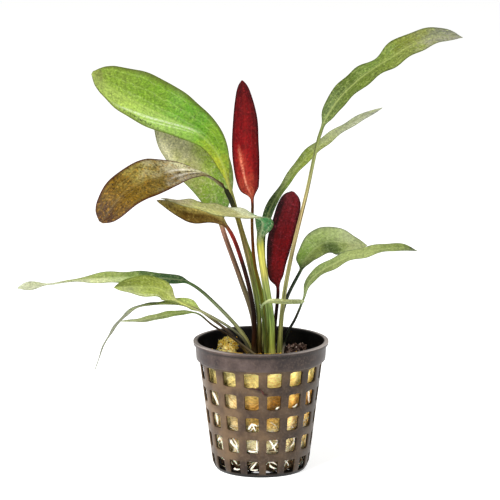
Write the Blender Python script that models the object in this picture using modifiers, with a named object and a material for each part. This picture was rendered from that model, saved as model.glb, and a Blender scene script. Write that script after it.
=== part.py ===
"""A potted amazon sword plant, 180 mm tall.

Sixteen leaves stand on a short crown in a plug of mineral wool, which fills a net pot of black plastic.
The pot stands on z = 0 with its axis on the Z axis, and the front of the plant looks along -Y.
"""

import bisect
import math

import bmesh
import bpy
from mathutils import Vector, noise

MM = 0.001
GAP = 0.3  # mm, between pieces that touch

# Net pot, in mm: a lip, a smooth band below it, and a tapered wall of windows down to a flat base.
POT_HEIGHT = 53.0
LIP_RADIUS = 27.5
LIP_HEIGHT = 1.3
BAND_TOP_RADIUS = 26.7
BAND_FOOT_RADIUS = 26.2
BAND_FOOT_Z = 45.4
WALL_TOP_RADIUS = 25.0
WALL_TOP_Z = 45.0
WALL_FOOT_RADIUS = 20.0
WALL_FOOT_Z = 4.5
BASE_RADIUS = 18.2
WALL = 1.0
WINDOW_COLUMNS = 16
WINDOW_ROWS = 5
WINDOW_HEIGHT = 6.1
TOP_WINDOW_Z = 44.4
ROW_PITCH = 9.35
BOTTOM_WINDOW_FOOT_Z = 1.4
WINDOW_ANGLE = 14.0  # degrees of each window, the rest of each column is a rib
FIRST_WINDOW_ANGLE = 6.0
BASE_SLOT_RADII = (8.0, 14.5)

# Plug of wool, in mm: it fills the pot, with a pocket for the crown and a tuft that stands up at the left.
PLUG_TOP_Z = 46.4
PLUG_TOP_RADIUS = 23.0
PLUG_FOOT_RADIUS = 16.0
PLUG_FOOT_Z = WALL + 0.4
PLUG_STEPS = 24
LUMP_DEPTH = 1.4
POCKET_RADIUS = 10.2
POCKET_Z = 43.0
TUFT_CENTRE = (-13.5, 7.0)
TUFT_RADIUS = 5.0
TUFT_HEIGHT = 6.4

# Crown, in mm: the short stock that the leaves grow from.
CROWN_CENTRE = (1.8, -0.3)
CROWN_RADIUS = 7.4
CROWN_TOP_Z = 47.0
CROWN_FOOT_Z = POCKET_Z + GAP

# Roots, in mm: each runs down the gap between the wool and the wall. The angles are in degrees from +X
# towards +Y, so -90 is the front. Name: angle at its top, turn to its end, height at its top and end.
ROOT_RADIUS = 0.45
ROOT_WALL_GAP = 0.6
ROOT_POINTS = 9
ROOTS = {
    "root_01": (-158.0, 26.0, 19.0, 4.5),
    "root_02": (-128.0, 18.0, 17.0, 4.0),
    "root_03": (-84.0, -17.0, 22.0, 5.0),
    "root_04": (-72.0, 20.0, 16.0, 4.0),
    "root_05": (-24.0, -20.0, 20.0, 6.0),
    "root_06": (-8.0, 24.0, 18.0, 4.5),
    "root_07": (60.0, 24.0, 20.0, 5.0),
    "root_08": (130.0, 22.0, 17.0, 4.5),
}

# Leaves, in mm. Each is a petiole that runs into the midrib of a blade. The half-widths of the blade are
# given at WIDTH_AT, shares of its length, or at its own `width_at`. `tip` is its half-width at the tip.
# `faces` are the directions that its upper side looks in, evenly spread from its base to its tip, and
# `radii` are the petiole's at the crown and at the blade.
WIDTH_AT = (0.1, 0.3, 0.5, 0.7, 0.9)
PETIOLE_STATIONS = 7
BLADE_STATIONS = 12
BLADE_THICKNESS = 0.6
LEAST_HALF_WIDTH = 0.4
SPAN_POINTS = 16  # of a dense route, between two of its given points
LEAF_FOOT_Z = CROWN_TOP_Z + GAP

LEAVES = {
    "leaf_large_green": {
        "petiole": (
            (0.5, 3.2, LEAF_FOOT_Z),
            (1.6, 6, 61),
            (-2.6, 9.3, 80.5),
            (-7.2, 11.2, 94),
            (-11.6, 13, 109.5),
        ),
        "midrib": (
            (-13.5, 14, 116),
            (-18, 16, 129.5),
            (-24.7, 18, 136.7),
            (-40, 22, 144.8),
            (-55.5, 25, 152.2),
            (-69, 26, 159),
        ),
        "half_widths": (3, 6.7, 10.1, 11.2, 7.6),
        "tip": 2.5,
        "faces": ((0.25, -0.9, 0.3), (0.2, -0.85, 0.5), (0, -0.7, 0.7)),
        "fold": 6,
        "radii": (1.3, 0.9),
        "colour": "6F9F33",
    },
    "leaf_green_behind": {
        "petiole": ((-2, 3.9, LEAF_FOOT_Z), (-3.2, 8, 60.5), (-8.8, 13, 77)),
        "midrib": (
            (-16.2, 20, 97),
            (-20.3, 25, 113.5),
            (-25.5, 28, 123),
            (-31.5, 31, 132.5),
            (-43, 34, 147.5),
        ),
        "half_widths": (4.2, 10, 12.5, 13, 7),
        "tip": 1.0,
        "faces": ((0.35, -0.9, 0.2), (0.3, -0.85, 0.4)),
        "fold": 5,
        "radii": (1.1, 1),
        "colour": "80894B",
    },
    "leaf_brown_arched": {
        "petiole": ((-0.8, 0.2, LEAF_FOOT_Z), (-1, -1.5, 64.5), (-4.9, -1, 85.5), (-10.9, -2, 108)),
        "midrib": (
            (-15.6, -3.8, 117.6),
            (-23.5, -9, 123),
            (-40, -18, 124),
            (-53.7, -26, 118.5),
            (-63, -32, 107.5),
        ),
        "half_widths": (1.5, 5.2, 8.9, 9, 6.6),
        "tip": 3.0,
        "faces": ((-0.5, -0.3, 0.8), (-0.3, -0.75, 0.55), (-0.35, -0.85, 0.4)),
        "fold": 4,
        "radii": (1.1, 1),
        "colour": "6E5220",
    },
    "leaf_pale_level": {
        "petiole": ((4.2, -3.5, LEAF_FOOT_Z), (3.9, -6, 63.5), (2, -7, 77), (0.3, -8, 88.5)),
        "midrib": (
            (-0.4, -9, 96.5),
            (1, -11, 104.5),
            (-3, -14, 107),
            (-14, -19.5, 109),
            (-27, -25, 113),
            (-39.5, -27, 116.2),
        ),
        "half_widths": (3.5, 6.5, 7, 5.5, 2),
        "tip": 0.4,
        "faces": ((0.3, 1, 0.1), (0.4, 0.1, 0.9), (0, -0.25, 1), (0, -0.25, 1), (0, -0.2, 1)),
        "fold": 5,
        "radii": (1.5, 1.5),
        "colour": "B3B77B",
    },
    "leaf_brown_low": {
        "petiole": ((-2.8, -1.4, LEAF_FOOT_Z), (-3, -3, 65.5), (-7.7, -7, 87)),
        "midrib": ((-13.2, -10, 101), (-19, -12, 106.5), (-29.5, -18, 109.5), (-41.4, -21, 114.3)),
        "half_widths": (1.5, 3.7, 4.8, 3.6, 1.4),
        "tip": 0.4,
        "faces": ((0, -0.8, 0.5), (0, -0.9, 0.4)),
        "fold": 5,
        "radii": (1.0, 0.8),
        "colour": "5E4420",
    },
    "leaf_red_upright": {
        "petiole": ((2.3, 0.8, LEAF_FOOT_Z), (0.5, 2, 69), (-2.6, 3, 84.5), (-3.6, 3, 100)),
        "midrib": ((-3.5, 2.5, 110.5), (-5.2, 2, 118), (-6.3, 3, 132), (-6.4, 5, 143), (-7.6, 8, 158.3)),
        "half_widths": (3.9, 5.3, 5.4, 4.8, 2.9),
        "tip": 1.0,
        "faces": ((0, -1, 0), (0.1, -1, 0)),
        "fold": 8,
        "radii": (0.8, 0.6),
        "colour": "8E1B20",
    },
    "leaf_tall_right": {
        "petiole": (
            (7.4, -2.3, LEAF_FOOT_Z),
            (7.9, -4, 58),
            (9.2, -5.5, 72),
            (12.6, -7, 91),
            (18, -8, 114),
        ),
        "midrib": (
            (24.5, -6, 141.5),
            (30, -5, 151),
            (39, -4, 160),
            (50, -2, 167.5),
            (61.5, 0, 174),
            (71.5, 0.5, 177),
            (80.5, 0, 176.6),
        ),
        "half_widths": (4.2, 6.4, 6.8, 6.8, 4.7),
        "tip": 0.4,
        "faces": ((-0.5, -0.6, 0.5), (-0.4, -0.5, 0.75), (-0.2, -0.5, 0.8), (0, -0.4, 0.9)),
        "fold": 8,
        "radii": (1.0, 0.7),
        "colour": "748B38",
    },
    "leaf_slender_right": {
        "petiole": ((3.6, 3.6, LEAF_FOOT_Z), (4, 6, 60), (1.5, 8, 80.5)),
        "midrib": (
            (1.4, 9.5, 95),
            (3.3, 10.5, 104),
            (7, 13, 110.3),
            (19.1, 21, 125),
            (28.3, 25.5, 132),
            (39, 28, 138.8),
            (50, 30, 144),
        ),
        "half_widths": (3, 2.5, 3.9, 3, 2.1),
        "tip": 0.4,
        "faces": ((-0.5, -0.4, 0.6), (-0.4, -0.35, 0.85), (0, -0.4, 0.9)),
        "fold": 8,
        "radii": (0.8, 0.6),
        "colour": "5C7233",
    },
    "leaf_red_leaning": {
        "petiole": ((4.8, 0.5, LEAF_FOOT_Z), (5.7, 0, 59)),
        "midrib": ((6.9, 0, 74.5), (5.9, -0.3, 80), (7.1, -0.8, 93), (9.7, 0, 103), (12.9, 3, 113.8)),
        "half_widths": (2.8, 4.4, 5.3, 5.3, 4.4),
        "tip": 1.8,
        "faces": ((0.3, -1, 0), (0.2, -1, 0)),
        "fold": 12,
        "radii": (0.8, 0.7),
        "colour": "6E1420",
    },
    "leaf_hooked_right": {
        "petiole": ((7.4, 2.2, LEAF_FOOT_Z), (8.3, 6, 60), (10.8, 9, 69)),
        "midrib": ((16.3, 14, 79), (19.3, 17, 84.4), (26.5, 21, 89.3), (44, 25, 87.4)),
        "half_widths": (4.3, 6.6, 8.2, 7, 3.7),
        "tip": 0.4,
        "faces": ((-0.6, -0.5, 0.3), (-0.3, -0.65, 0.7), (0, -0.4, 1)),
        "fold": 6,
        "radii": (0.8, 0.7),
        "colour": "7C9250",
    },
    "leaf_arched_right": {
        "petiole": ((8.3, 0, LEAF_FOOT_Z), (10.5, -1, 55.5), (14, -4, 63)),
        "midrib": (
            (17, -8, 71.5),
            (20, -11, 80),
            (33, -16, 89.4),
            (43, -18, 92.8),
            (54.5, -19.5, 94.9),
            (62, -20, 93.8),
        ),
        "half_widths": (3.2, 4.2, 4.3, 4.3, 3),
        "tip": 0.4,
        "faces": ((-0.6, -0.35, 0.5), (-0.3, -0.3, 0.9), (0, -0.25, 1)),
        "fold": 8,
        "radii": (0.7, 0.5),
        "colour": "71853F",
    },
    "leaf_bent_strap": {
        "petiole": ((2.1, -4.7, LEAF_FOOT_Z), (1.2, -8.5, 61)),
        "midrib": ((0.5, -11, 69.5), (3, -12, 71.5), (10, -12.5, 71.5), (17.5, -12, 71.5)),
        "half_widths": (0.7, 1, 1, 1, 0.9),
        "tip": 0.4,
        "faces": ((0, -1, 0.2), (0, -1, 0.4)),
        "fold": 3,
        "radii": (0.6, 0.5),
        "colour": "93A26B",
    },
    "leaf_long_left": {
        "petiole": ((-3.7, 1.6, LEAF_FOOT_Z), (-6.5, 4, 53.3), (-16.3, 8, 64)),
        "midrib": (
            (-29, 12, 74),
            (-39.5, 14, 75.5),
            (-61.5, 15, 75.6),
            (-81, 13, 74.4),
            (-92.5, 11.5, 73.2),
            (-99.5, 10, 72.5),
        ),
        "width_at": (0.1, 0.5, 0.7, 0.82, 0.92),
        "half_widths": (4.3, 4.6, 1, 0.5, 3),
        "tip": 1.0,
        "faces": ((0, -0.3, 1), (0, -0.25, 1), (0, -0.3, 1), (0, -0.3, 1), (0, -0.5, 0.9)),
        "fold": 4,
        "radii": (0.9, 0.7),
        "colour": "8AA15A",
    },
    "leaf_small_left": {
        "petiole": ((-3.4, -3.5, LEAF_FOOT_Z), (-8, -7, 56), (-22.5, -13, 67)),
        "midrib": ((-33.5, -16, 72.5), (-40, -18, 77.6), (-47, -21, 79.3), (-58.5, -24, 79.7)),
        "half_widths": (2.2, 5.2, 5.8, 5, 2.4),
        "tip": 0.4,
        "faces": ((-0.2, -0.6, 0.7), (-0.2, -0.6, 0.8)),
        "fold": 6,
        "radii": (0.6, 0.5),
        "colour": "8F9E3E",
    },
    "leaf_thin_left": {
        "petiole": ((-1.5, -5.1, LEAF_FOOT_Z), (-12, -10, 56.5), (-19.5, -15, 62.5)),
        "midrib": ((-26, -19, 68.3), (-35.5, -22.5, 68.5), (-47.5, -27, 67), (-55.5, -30, 67.3)),
        "half_widths": (1.5, 2.5, 2.5, 2, 1),
        "tip": 0.4,
        "faces": ((0, -0.3, 1), (0, -0.25, 1)),
        "fold": 6,
        "radii": (0.6, 0.4),
        "colour": "94A365",
    },
    "leaf_drooping_left": {
        "petiole": ((-4.9, -1.2, LEAF_FOOT_Z), (-11.5, -2, 55.5), (-20.5, -6, 63.5)),
        "midrib": (
            (-24, -8, 66.5),
            (-30, -10, 70.3),
            (-40, -15, 71.3),
            (-50.5, -21, 70.4),
            (-60.5, -29, 61),
            (-66, -33, 48),
        ),
        "half_widths": (2.8, 1.8, 2, 1.8, 0.9),
        "tip": 0.4,
        "faces": ((0, -0.7, 0.7), (0, -0.15, 1), (-0.6, 0, 0.8), (-0.9, -0.05, 0.4)),
        "fold": 6,
        "radii": (0.7, 0.5),
        "colour": "7D8A66",
    },
}


def clear_scene():
    for old in list(bpy.data.objects):
        bpy.data.objects.remove(old, do_unlink=True)


def material(name, hex_colour, roughness):
    """A Principled material from an sRGB hex colour."""
    channels = [int(hex_colour[i : i + 2], 16) / 255 for i in (0, 2, 4)]
    linear = [((c + 0.055) / 1.055) ** 2.4 if c > 0.04045 else c / 12.92 for c in channels]
    new = bpy.data.materials.new(name)
    new.use_nodes = True
    shader = new.node_tree.nodes["Principled BSDF"]
    shader.inputs["Base Color"].default_value = (*linear, 1.0)
    shader.inputs["Roughness"].default_value = roughness
    shader.inputs["Metallic"].default_value = 0.0
    return new


def add_piece(name, mesh, collection, finish):
    """Names a mesh, gives it its material and links it to the collection."""
    mesh.name = name
    mesh.materials.clear()
    mesh.materials.append(finish)
    mesh.shade_smooth()
    mesh.set_sharp_from_angle(angle=math.radians(40))
    piece = bpy.data.objects.new(name, mesh)
    collection.objects.link(piece)
    return piece


def turned_mesh(profile, steps, collection):
    """A profile of (radius, height) in mm, top to bottom, turned about the Z axis by a Screw modifier."""
    outline = bpy.data.meshes.new("profile")
    points = [(radius * MM, 0.0, height * MM) for radius, height in profile]
    outline.from_pydata(points, [(i, i + 1) for i in range(len(points) - 1)], [])
    turned = bpy.data.objects.new("profile", outline)
    collection.objects.link(turned)
    screw = turned.modifiers.new("Screw", "SCREW")
    screw.steps = steps
    screw.render_steps = steps
    screw.use_merge_vertices = True
    screw.merge_threshold = 0.00001
    bpy.context.view_layer.update()
    graph = bpy.context.evaluated_depsgraph_get()
    mesh = bpy.data.meshes.new_from_object(turned.evaluated_get(graph))
    bpy.data.objects.remove(turned)
    bpy.data.meshes.remove(outline)
    return mesh


def wall_radius(height):
    """Outer radius of the pot's windowed wall at a height, in mm."""
    share = (height - WALL_FOOT_Z) / (WALL_TOP_Z - WALL_FOOT_Z)
    return WALL_FOOT_RADIUS + share * (WALL_TOP_RADIUS - WALL_FOOT_RADIUS)


def window_rows():
    """(foot, top) heights of the rows of windows, the top row first."""
    rows = []
    for row in range(WINDOW_ROWS):
        top = TOP_WINDOW_Z - row * ROW_PITCH
        rows.append((top - WINDOW_HEIGHT, top))
    rows[-1] = (BOTTOM_WINDOW_FOOT_Z, rows[-1][1])
    return rows


def net_pot(collection):
    """The outer skin is turned, its windows and base slots are deleted, and Solidify gives it its wall."""
    profile = [
        (LIP_RADIUS, POT_HEIGHT),
        (LIP_RADIUS, POT_HEIGHT - LIP_HEIGHT),
        (BAND_TOP_RADIUS, POT_HEIGHT - LIP_HEIGHT - 0.4),
        (BAND_FOOT_RADIUS, BAND_FOOT_Z),
        (WALL_TOP_RADIUS, WALL_TOP_Z),
    ]
    rows = window_rows()
    for foot, top in rows:
        profile.append((wall_radius(top), top))
        if foot != BOTTOM_WINDOW_FOOT_Z:
            profile.append((wall_radius(foot), foot))
    corner_radius = BASE_RADIUS + 1.0
    profile += [
        (wall_radius(WALL_FOOT_Z), WALL_FOOT_Z),
        (corner_radius, BOTTOM_WINDOW_FOOT_Z),
        (BASE_RADIUS, 0.0),
        (BASE_SLOT_RADII[1], 0.0),
        (BASE_SLOT_RADII[0], 0.0),
        (0.0, 0.0),
    ]
    mesh = turned_mesh(profile, 2 * WINDOW_COLUMNS, collection)

    pitch = 360.0 / WINDOW_COLUMNS
    skin = bmesh.new()
    skin.from_mesh(mesh)
    for vertex in skin.verts:
        step = round(math.degrees(math.atan2(vertex.co.y, vertex.co.x)) / (pitch / 2))
        column, side = divmod(step, 2)
        angle = math.radians(FIRST_WINDOW_ANGLE + column * pitch + side * WINDOW_ANGLE)
        radius = math.hypot(vertex.co.x, vertex.co.y)
        vertex.co.x = radius * math.cos(angle)
        vertex.co.y = radius * math.sin(angle)

    holes = []
    for face in skin.faces:
        middle = face.calc_center_median()
        angle = math.degrees(math.atan2(middle.y, middle.x)) - FIRST_WINDOW_ANGLE
        if angle % pitch > WINDOW_ANGLE:
            continue
        radius = math.hypot(middle.x, middle.y) / MM
        height = middle.z / MM
        in_window = any(foot < height < top for foot, top in rows)
        in_slot = height < 0.1 and BASE_SLOT_RADII[0] < radius < BASE_SLOT_RADII[1]
        if in_window or in_slot:
            holes.append(face)
    bmesh.ops.delete(skin, geom=holes, context="FACES")
    skin.to_mesh(mesh)
    skin.free()

    pot = add_piece("net_pot", mesh, collection, material("pot plastic", "403834", 0.45))
    wall = pot.modifiers.new("Wall", "SOLIDIFY")
    wall.thickness = WALL * MM
    wall.offset = -1.0
    wall.use_even_offset = True
    return pot


def rockwool_plug(collection):
    """A turned block of wool with a pocket in its top, pressed into lumps inside the pot's wall."""
    profile = [
        (0.0, POCKET_Z),
        (POCKET_RADIUS - 1.0, POCKET_Z),
        (POCKET_RADIUS, PLUG_TOP_Z - 1.0),
        (13.0, PLUG_TOP_Z),
        (17.0, PLUG_TOP_Z),
        (PLUG_TOP_RADIUS - 2.0, PLUG_TOP_Z),
    ]
    side_rows = 9
    for row in range(side_rows):
        share = row / (side_rows - 1)
        height = PLUG_TOP_Z - 2.0 + share * (PLUG_FOOT_Z + 1.5 - PLUG_TOP_Z + 2.0)
        radius = PLUG_TOP_RADIUS + share * (PLUG_FOOT_RADIUS - PLUG_TOP_RADIUS)
        profile.append((radius, height))
    profile += [(PLUG_FOOT_RADIUS - 1.5, PLUG_FOOT_Z), (0.0, PLUG_FOOT_Z)]
    mesh = turned_mesh(profile, PLUG_STEPS, collection)

    tuft = Vector((*TUFT_CENTRE, 0.0)) * MM
    for vertex in mesh.vertices:
        radius = math.hypot(vertex.co.x, vertex.co.y)
        height = vertex.co.z / MM
        if radius > 12.5 * MM and height > PLUG_FOOT_Z + 1.0:
            lump = noise.noise(vertex.co * 140.0 + Vector((3.0, 7.0, 1.0)))
            inward = LUMP_DEPTH * MM * (0.5 + 0.5 * lump)
            vertex.co.x *= 1.0 - inward / radius
            vertex.co.y *= 1.0 - inward / radius
        if height > PLUG_TOP_Z - 0.1:
            reach = (Vector((vertex.co.x, vertex.co.y, 0.0)) - tuft).length / (TUFT_RADIUS * MM)
            vertex.co.z += TUFT_HEIGHT * MM * max(0.0, 1.0 - reach * reach)
    return add_piece("rockwool_plug", mesh, collection, material("mineral wool", "B9954B", 0.95))


def crown(collection):
    """The stock of the plant: a short turned stub that narrows into the wool."""
    rise = CROWN_TOP_Z - CROWN_FOOT_Z
    profile = [
        (0.0, CROWN_TOP_Z),
        (CROWN_RADIUS - 0.6, CROWN_TOP_Z),
        (CROWN_RADIUS, CROWN_TOP_Z - 0.2 * rise),
        (CROWN_RADIUS - 0.4, CROWN_FOOT_Z + 0.3 * rise),
        (CROWN_RADIUS - 1.8, CROWN_FOOT_Z),
        (0.0, CROWN_FOOT_Z),
    ]
    mesh = turned_mesh(profile, 16, collection)
    piece = add_piece("crown", mesh, collection, material("crown tissue", "6B5A30", 0.8))
    piece.location = (CROWN_CENTRE[0] * MM, CROWN_CENTRE[1] * MM, 0.0)
    return piece


def root(name, collection, finish):
    """A thread that follows the inside of the wall downwards, with a slight wave."""
    start, turn, top, foot = ROOTS[name]
    cord = bpy.data.curves.new(name, "CURVE")
    cord.dimensions = "3D"
    cord.bevel_depth = ROOT_RADIUS * MM
    cord.bevel_resolution = 1
    cord.use_fill_caps = True
    thread = cord.splines.new("POLY")
    thread.points.add(ROOT_POINTS - 1)
    for i, point in enumerate(thread.points):
        share = i / (ROOT_POINTS - 1)
        height = top + share * (foot - top)
        angle = math.radians(start + turn * (share + 0.12 * math.sin(7.0 * share)))
        radius = wall_radius(height) - WALL - ROOT_WALL_GAP - ROOT_RADIUS
        point.co = (radius * math.cos(angle) * MM, radius * math.sin(angle) * MM, height * MM, 1.0)
    cord.materials.append(finish)
    piece = bpy.data.objects.new(name, cord)
    collection.objects.link(piece)
    return piece


def catmull_rom(points, times, moment):
    """The point at a moment on the curve through four points at their own times."""
    first = [points[j].lerp(points[j + 1], (moment - times[j]) / (times[j + 1] - times[j])) for j in range(3)]
    second = [first[j].lerp(first[j + 1], (moment - times[j]) / (times[j + 2] - times[j])) for j in range(2)]
    return second[0].lerp(second[1], (moment - times[1]) / (times[2] - times[1]))


def smooth_route(points):
    """A dense curve through the points, the length at each of its points, and each given point's index."""
    knots = [2 * points[0] - points[1], *points, 2 * points[-1] - points[-2]]
    route = []
    marks = []
    for i in range(len(points) - 1):
        near = knots[i : i + 4]
        times = [0.0]
        for a, b in zip(near, near[1:]):
            times.append(times[-1] + math.sqrt((b - a).length))
        marks.append(len(route))
        for k in range(SPAN_POINTS):
            moment = times[1] + (times[2] - times[1]) * k / SPAN_POINTS
            route.append(catmull_rom(near, times, moment))
    marks.append(len(route))
    route.append(points[-1])
    lengths = [0.0]
    for a, b in zip(route, route[1:]):
        lengths.append(lengths[-1] + (b - a).length)
    return route, lengths, marks


def along(route, lengths, distance):
    """The point at a distance along a dense route."""
    i = min(max(bisect.bisect_right(lengths, distance) - 1, 0), len(route) - 2)
    return route[i].lerp(route[i + 1], (distance - lengths[i]) / (lengths[i + 1] - lengths[i]))


def half_width(leaf, share):
    """The blade's half-width at a share of its length: a smooth curve through its given values."""
    widths = leaf["half_widths"]
    at = (0.0, *leaf.get("width_at", WIDTH_AT), 1.0)
    values = (widths[0] * 0.25, *widths, leaf["tip"])
    i = min(bisect.bisect_right(at, share) - 1, len(at) - 2)
    span = at[i + 1] - at[i]
    slopes = []
    for j in (i, i + 1):
        low, high = max(j - 1, 0), min(j + 1, len(at) - 1)
        slopes.append((values[high] - values[low]) / (at[high] - at[low]) * span)
    t = (share - at[i]) / span
    value = values[i] * (1 + 2 * t) * (1 - t) ** 2 + values[i + 1] * t * t * (3 - 2 * t)
    value += slopes[0] * t * (1 - t) ** 2 - slopes[1] * t * t * (1 - t)
    return max(value, LEAST_HALF_WIDTH)


def facing(faces, share):
    """The direction of the blade's upper side at a share of its length."""
    vectors = [Vector(face).normalized() for face in faces]
    place = share * (len(vectors) - 1)
    i = min(int(place), len(vectors) - 2)
    return vectors[i].lerp(vectors[i + 1], place - i)


def leaf_sections(leaf):
    """The rings of eight points, in mm, that a leaf is lofted through, from the crown to the tip."""
    points = [Vector(point) for point in leaf["petiole"] + leaf["midrib"]]
    route, lengths, marks = smooth_route(points)
    blade_start = lengths[marks[len(leaf["petiole"])]]
    blade_length = lengths[-1] - blade_start
    stops = [blade_start * i / PETIOLE_STATIONS for i in range(PETIOLE_STATIONS)]
    stops += [blade_start + blade_length * i / BLADE_STATIONS for i in range(BLADE_STATIONS + 1)]

    thin, thick = leaf["radii"][1], leaf["radii"][0]
    fold = math.tan(math.radians(leaf["fold"]))
    rings = []
    for stop in stops:
        centre = along(route, lengths, stop)
        ahead = along(route, lengths, min(stop + 0.5, lengths[-1]))
        behind = along(route, lengths, max(stop - 0.5, 0.0))
        forward = (ahead - behind).normalized() if stop > 0.0 else Vector((0.0, 0.0, 1.0))
        share = max(0.0, (stop - blade_start) / blade_length)
        up = facing(leaf["faces"], share)
        up = (up - up.dot(forward) * forward).normalized()
        left = up.cross(forward)
        if stop < blade_start:
            radius = thick + (thin - thick) * stop / blade_start
            turns = [k * math.pi / 4 for k in range(8)]
            corners = [(radius * math.cos(turn), radius * math.sin(turn)) for turn in turns]
        else:
            width = half_width(leaf, share)
            rib = BLADE_THICKNESS / 2 + (thin - BLADE_THICKNESS / 2) * (1 - share) ** 2
            half, skin = width / 2, BLADE_THICKNESS / 2
            corners = [
                (width, fold * width),
                (half, fold * half + skin),
                (0.0, skin),
                (-half, fold * half + skin),
                (-width, fold * width),
                (-half, fold * half - skin),
                (0.0, -rib),
                (half, fold * half - skin),
            ]
        rings.append([centre + left * x + up * y for x, y in corners])
    return rings


def leaf(name, collection):
    """A leaf grown in one piece: a round petiole lofted into a thin folded blade with a keel."""
    rings = leaf_sections(LEAVES[name])
    form = bmesh.new()
    loops = [[form.verts.new(point * MM) for point in ring] for ring in rings]
    for near, far in zip(loops, loops[1:]):
        for k in range(8):
            form.faces.new((near[k], near[(k + 1) % 8], far[(k + 1) % 8], far[k]))
    form.faces.new(reversed(loops[0]))
    form.faces.new(loops[-1])
    bmesh.ops.triangulate(form, faces=form.faces)
    mesh = bpy.data.meshes.new(name)
    form.to_mesh(mesh)
    form.free()
    return add_piece(name, mesh, collection, material(name + " tissue", LEAVES[name]["colour"], 0.5))


def build():
    clear_scene()
    collection = bpy.data.collections.new("amazon_sword_plant")
    bpy.context.scene.collection.children.link(collection)
    net_pot(collection)
    rockwool_plug(collection)
    crown(collection)
    root_finish = material("root tissue", "D8CFB4", 0.7)
    for name in ROOTS:
        root(name, collection, root_finish)
    for name in LEAVES:
        leaf(name, collection)


build()
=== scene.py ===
import bisect
import functools
import math
import random

import bmesh
import bpy
from mathutils import Matrix, Vector, noise


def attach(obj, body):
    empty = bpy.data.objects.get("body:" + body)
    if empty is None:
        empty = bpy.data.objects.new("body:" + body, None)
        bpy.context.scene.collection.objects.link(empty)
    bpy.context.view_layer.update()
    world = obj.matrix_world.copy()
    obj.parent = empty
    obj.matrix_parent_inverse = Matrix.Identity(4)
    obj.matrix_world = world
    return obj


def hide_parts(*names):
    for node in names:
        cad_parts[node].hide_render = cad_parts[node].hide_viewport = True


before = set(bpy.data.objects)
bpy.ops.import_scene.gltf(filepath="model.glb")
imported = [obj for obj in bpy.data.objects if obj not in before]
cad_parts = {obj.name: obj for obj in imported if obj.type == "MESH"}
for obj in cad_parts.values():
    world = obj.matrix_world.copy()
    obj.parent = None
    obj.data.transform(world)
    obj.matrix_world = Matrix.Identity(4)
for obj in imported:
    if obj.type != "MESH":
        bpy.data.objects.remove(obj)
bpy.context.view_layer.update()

MM = 0.001


# --- Studio ---
# The plant stands on a sheet of white acrylic that glows a little from below, as product tables do, in a
# plain white room. One large soft lamp at the upper left gives the gloss, and a weaker one fills the right.

def linear(colour):
    """An sRGB hex colour as linear RGBA."""
    channels = [int(colour[i : i + 2], 16) / 255 for i in (0, 2, 4)]
    return (*[((c + 0.055) / 1.055) ** 2.4 if c > 0.04045 else c / 12.92 for c in channels], 1)


def add_node(tree, kind, *values, stops="", **named):
    """Adds a node. Its open inputs take the values in order, and inputs and settings can be given by name. A
    value is a number, a vector, a hex colour, an output, or a node, which gives its first open output. The
    mode of a Mix or Math node follows its kind, and a ramp's stops are percents and colours."""
    kind, _, mode = kind.partition(" ")
    made = tree.nodes.new("ShaderNode" + kind)
    if mode:
        setattr(made, "data_type" if kind == "Mix" else "operation", mode)
    sockets = {socket.name.lower().replace(" ", "_"): socket for socket in made.inputs}
    for name in named.keys() - sockets.keys():
        setattr(made, name, named[name])
    given = list(zip([socket for socket in made.inputs if socket.enabled], values))
    given += [(sockets[name], named[name]) for name in named if name in sockets]
    for socket, value in given:
        if isinstance(value, bpy.types.Node):
            value = next(output for output in value.outputs if output.enabled)
        if isinstance(value, bpy.types.NodeSocket):
            tree.links.new(value, socket)
        else:
            socket.default_value = linear(value) if isinstance(value, str) else value
    for i, (percent, colour) in enumerate(stop.split() for stop in stops.split(", ") if stop):
        elements = made.color_ramp.elements
        element = elements[i] if i < 2 else elements.new(1)
        element.position = int(percent) / 100
        element.color = linear(colour)
    return made


def new_material(name):
    """A material with no nodes, and the function that adds nodes to it."""
    made = bpy.data.materials.new(name)
    made.use_nodes = True
    made.node_tree.nodes.clear()
    return made, functools.partial(add_node, made.node_tree)


def begin(name, add_shape, **settings):
    """A primitive at its place, with its name, and with the place and turn applied to its mesh."""
    bpy.ops.object.select_all(action="DESELECT")
    add_shape(**settings)
    made = bpy.context.object
    made.name = name
    bpy.ops.object.transform_apply(location=True, rotation=True, scale=True)
    return made


def look_at(looker, target):
    """The turn that points a camera or a lamp at a place."""
    return (Vector(target) - looker.location).to_track_quat("-Z", "Y").to_euler()


bpy.context.scene.view_settings.view_transform = "Standard"

# The camera stands 1.2 m in front of the plant, a little above it, with a long lens, as in the photo.
bpy.ops.object.select_all(action="DESELECT")
bpy.ops.object.camera_add(location=(-0.00443, -1.1784, 0.3172))
camera = bpy.context.object
camera.name = "camera"
camera.rotation_euler = look_at(camera, (-0.00443, 0, 0.09026))
camera.data.sensor_width = 36
camera.data.lens = 213.6
camera.data.clip_start = 0.05
camera.data.clip_end = 30
bpy.context.scene.camera = camera

room = bpy.data.worlds.new("white_room")
room.use_nodes = True
room.node_tree.nodes.clear()
put = functools.partial(add_node, room.node_tree)
glow = put("Background", "FFFFFF", 0.3)
seen_wall = put("Background", "FFFFFF", 1.05)
is_camera_ray = put("LightPath").outputs["Is Camera Ray"]
put("OutputWorld", put("MixShader", is_camera_ray, glow, seen_wall))
bpy.context.scene.world = room

table = begin("table", bpy.ops.mesh.primitive_plane_add, size=8, location=(0, 2, 0))
acrylic, put = new_material("opal acrylic sheet")
sheet = put(
    "BsdfPrincipled", base_color="F4F4F2", roughness=0.6, ior=1.49,
    emission_color="FFFFFF", emission_strength=0.62,
)
put("OutputMaterial", sheet)
table.data.materials.append(acrylic)

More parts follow.
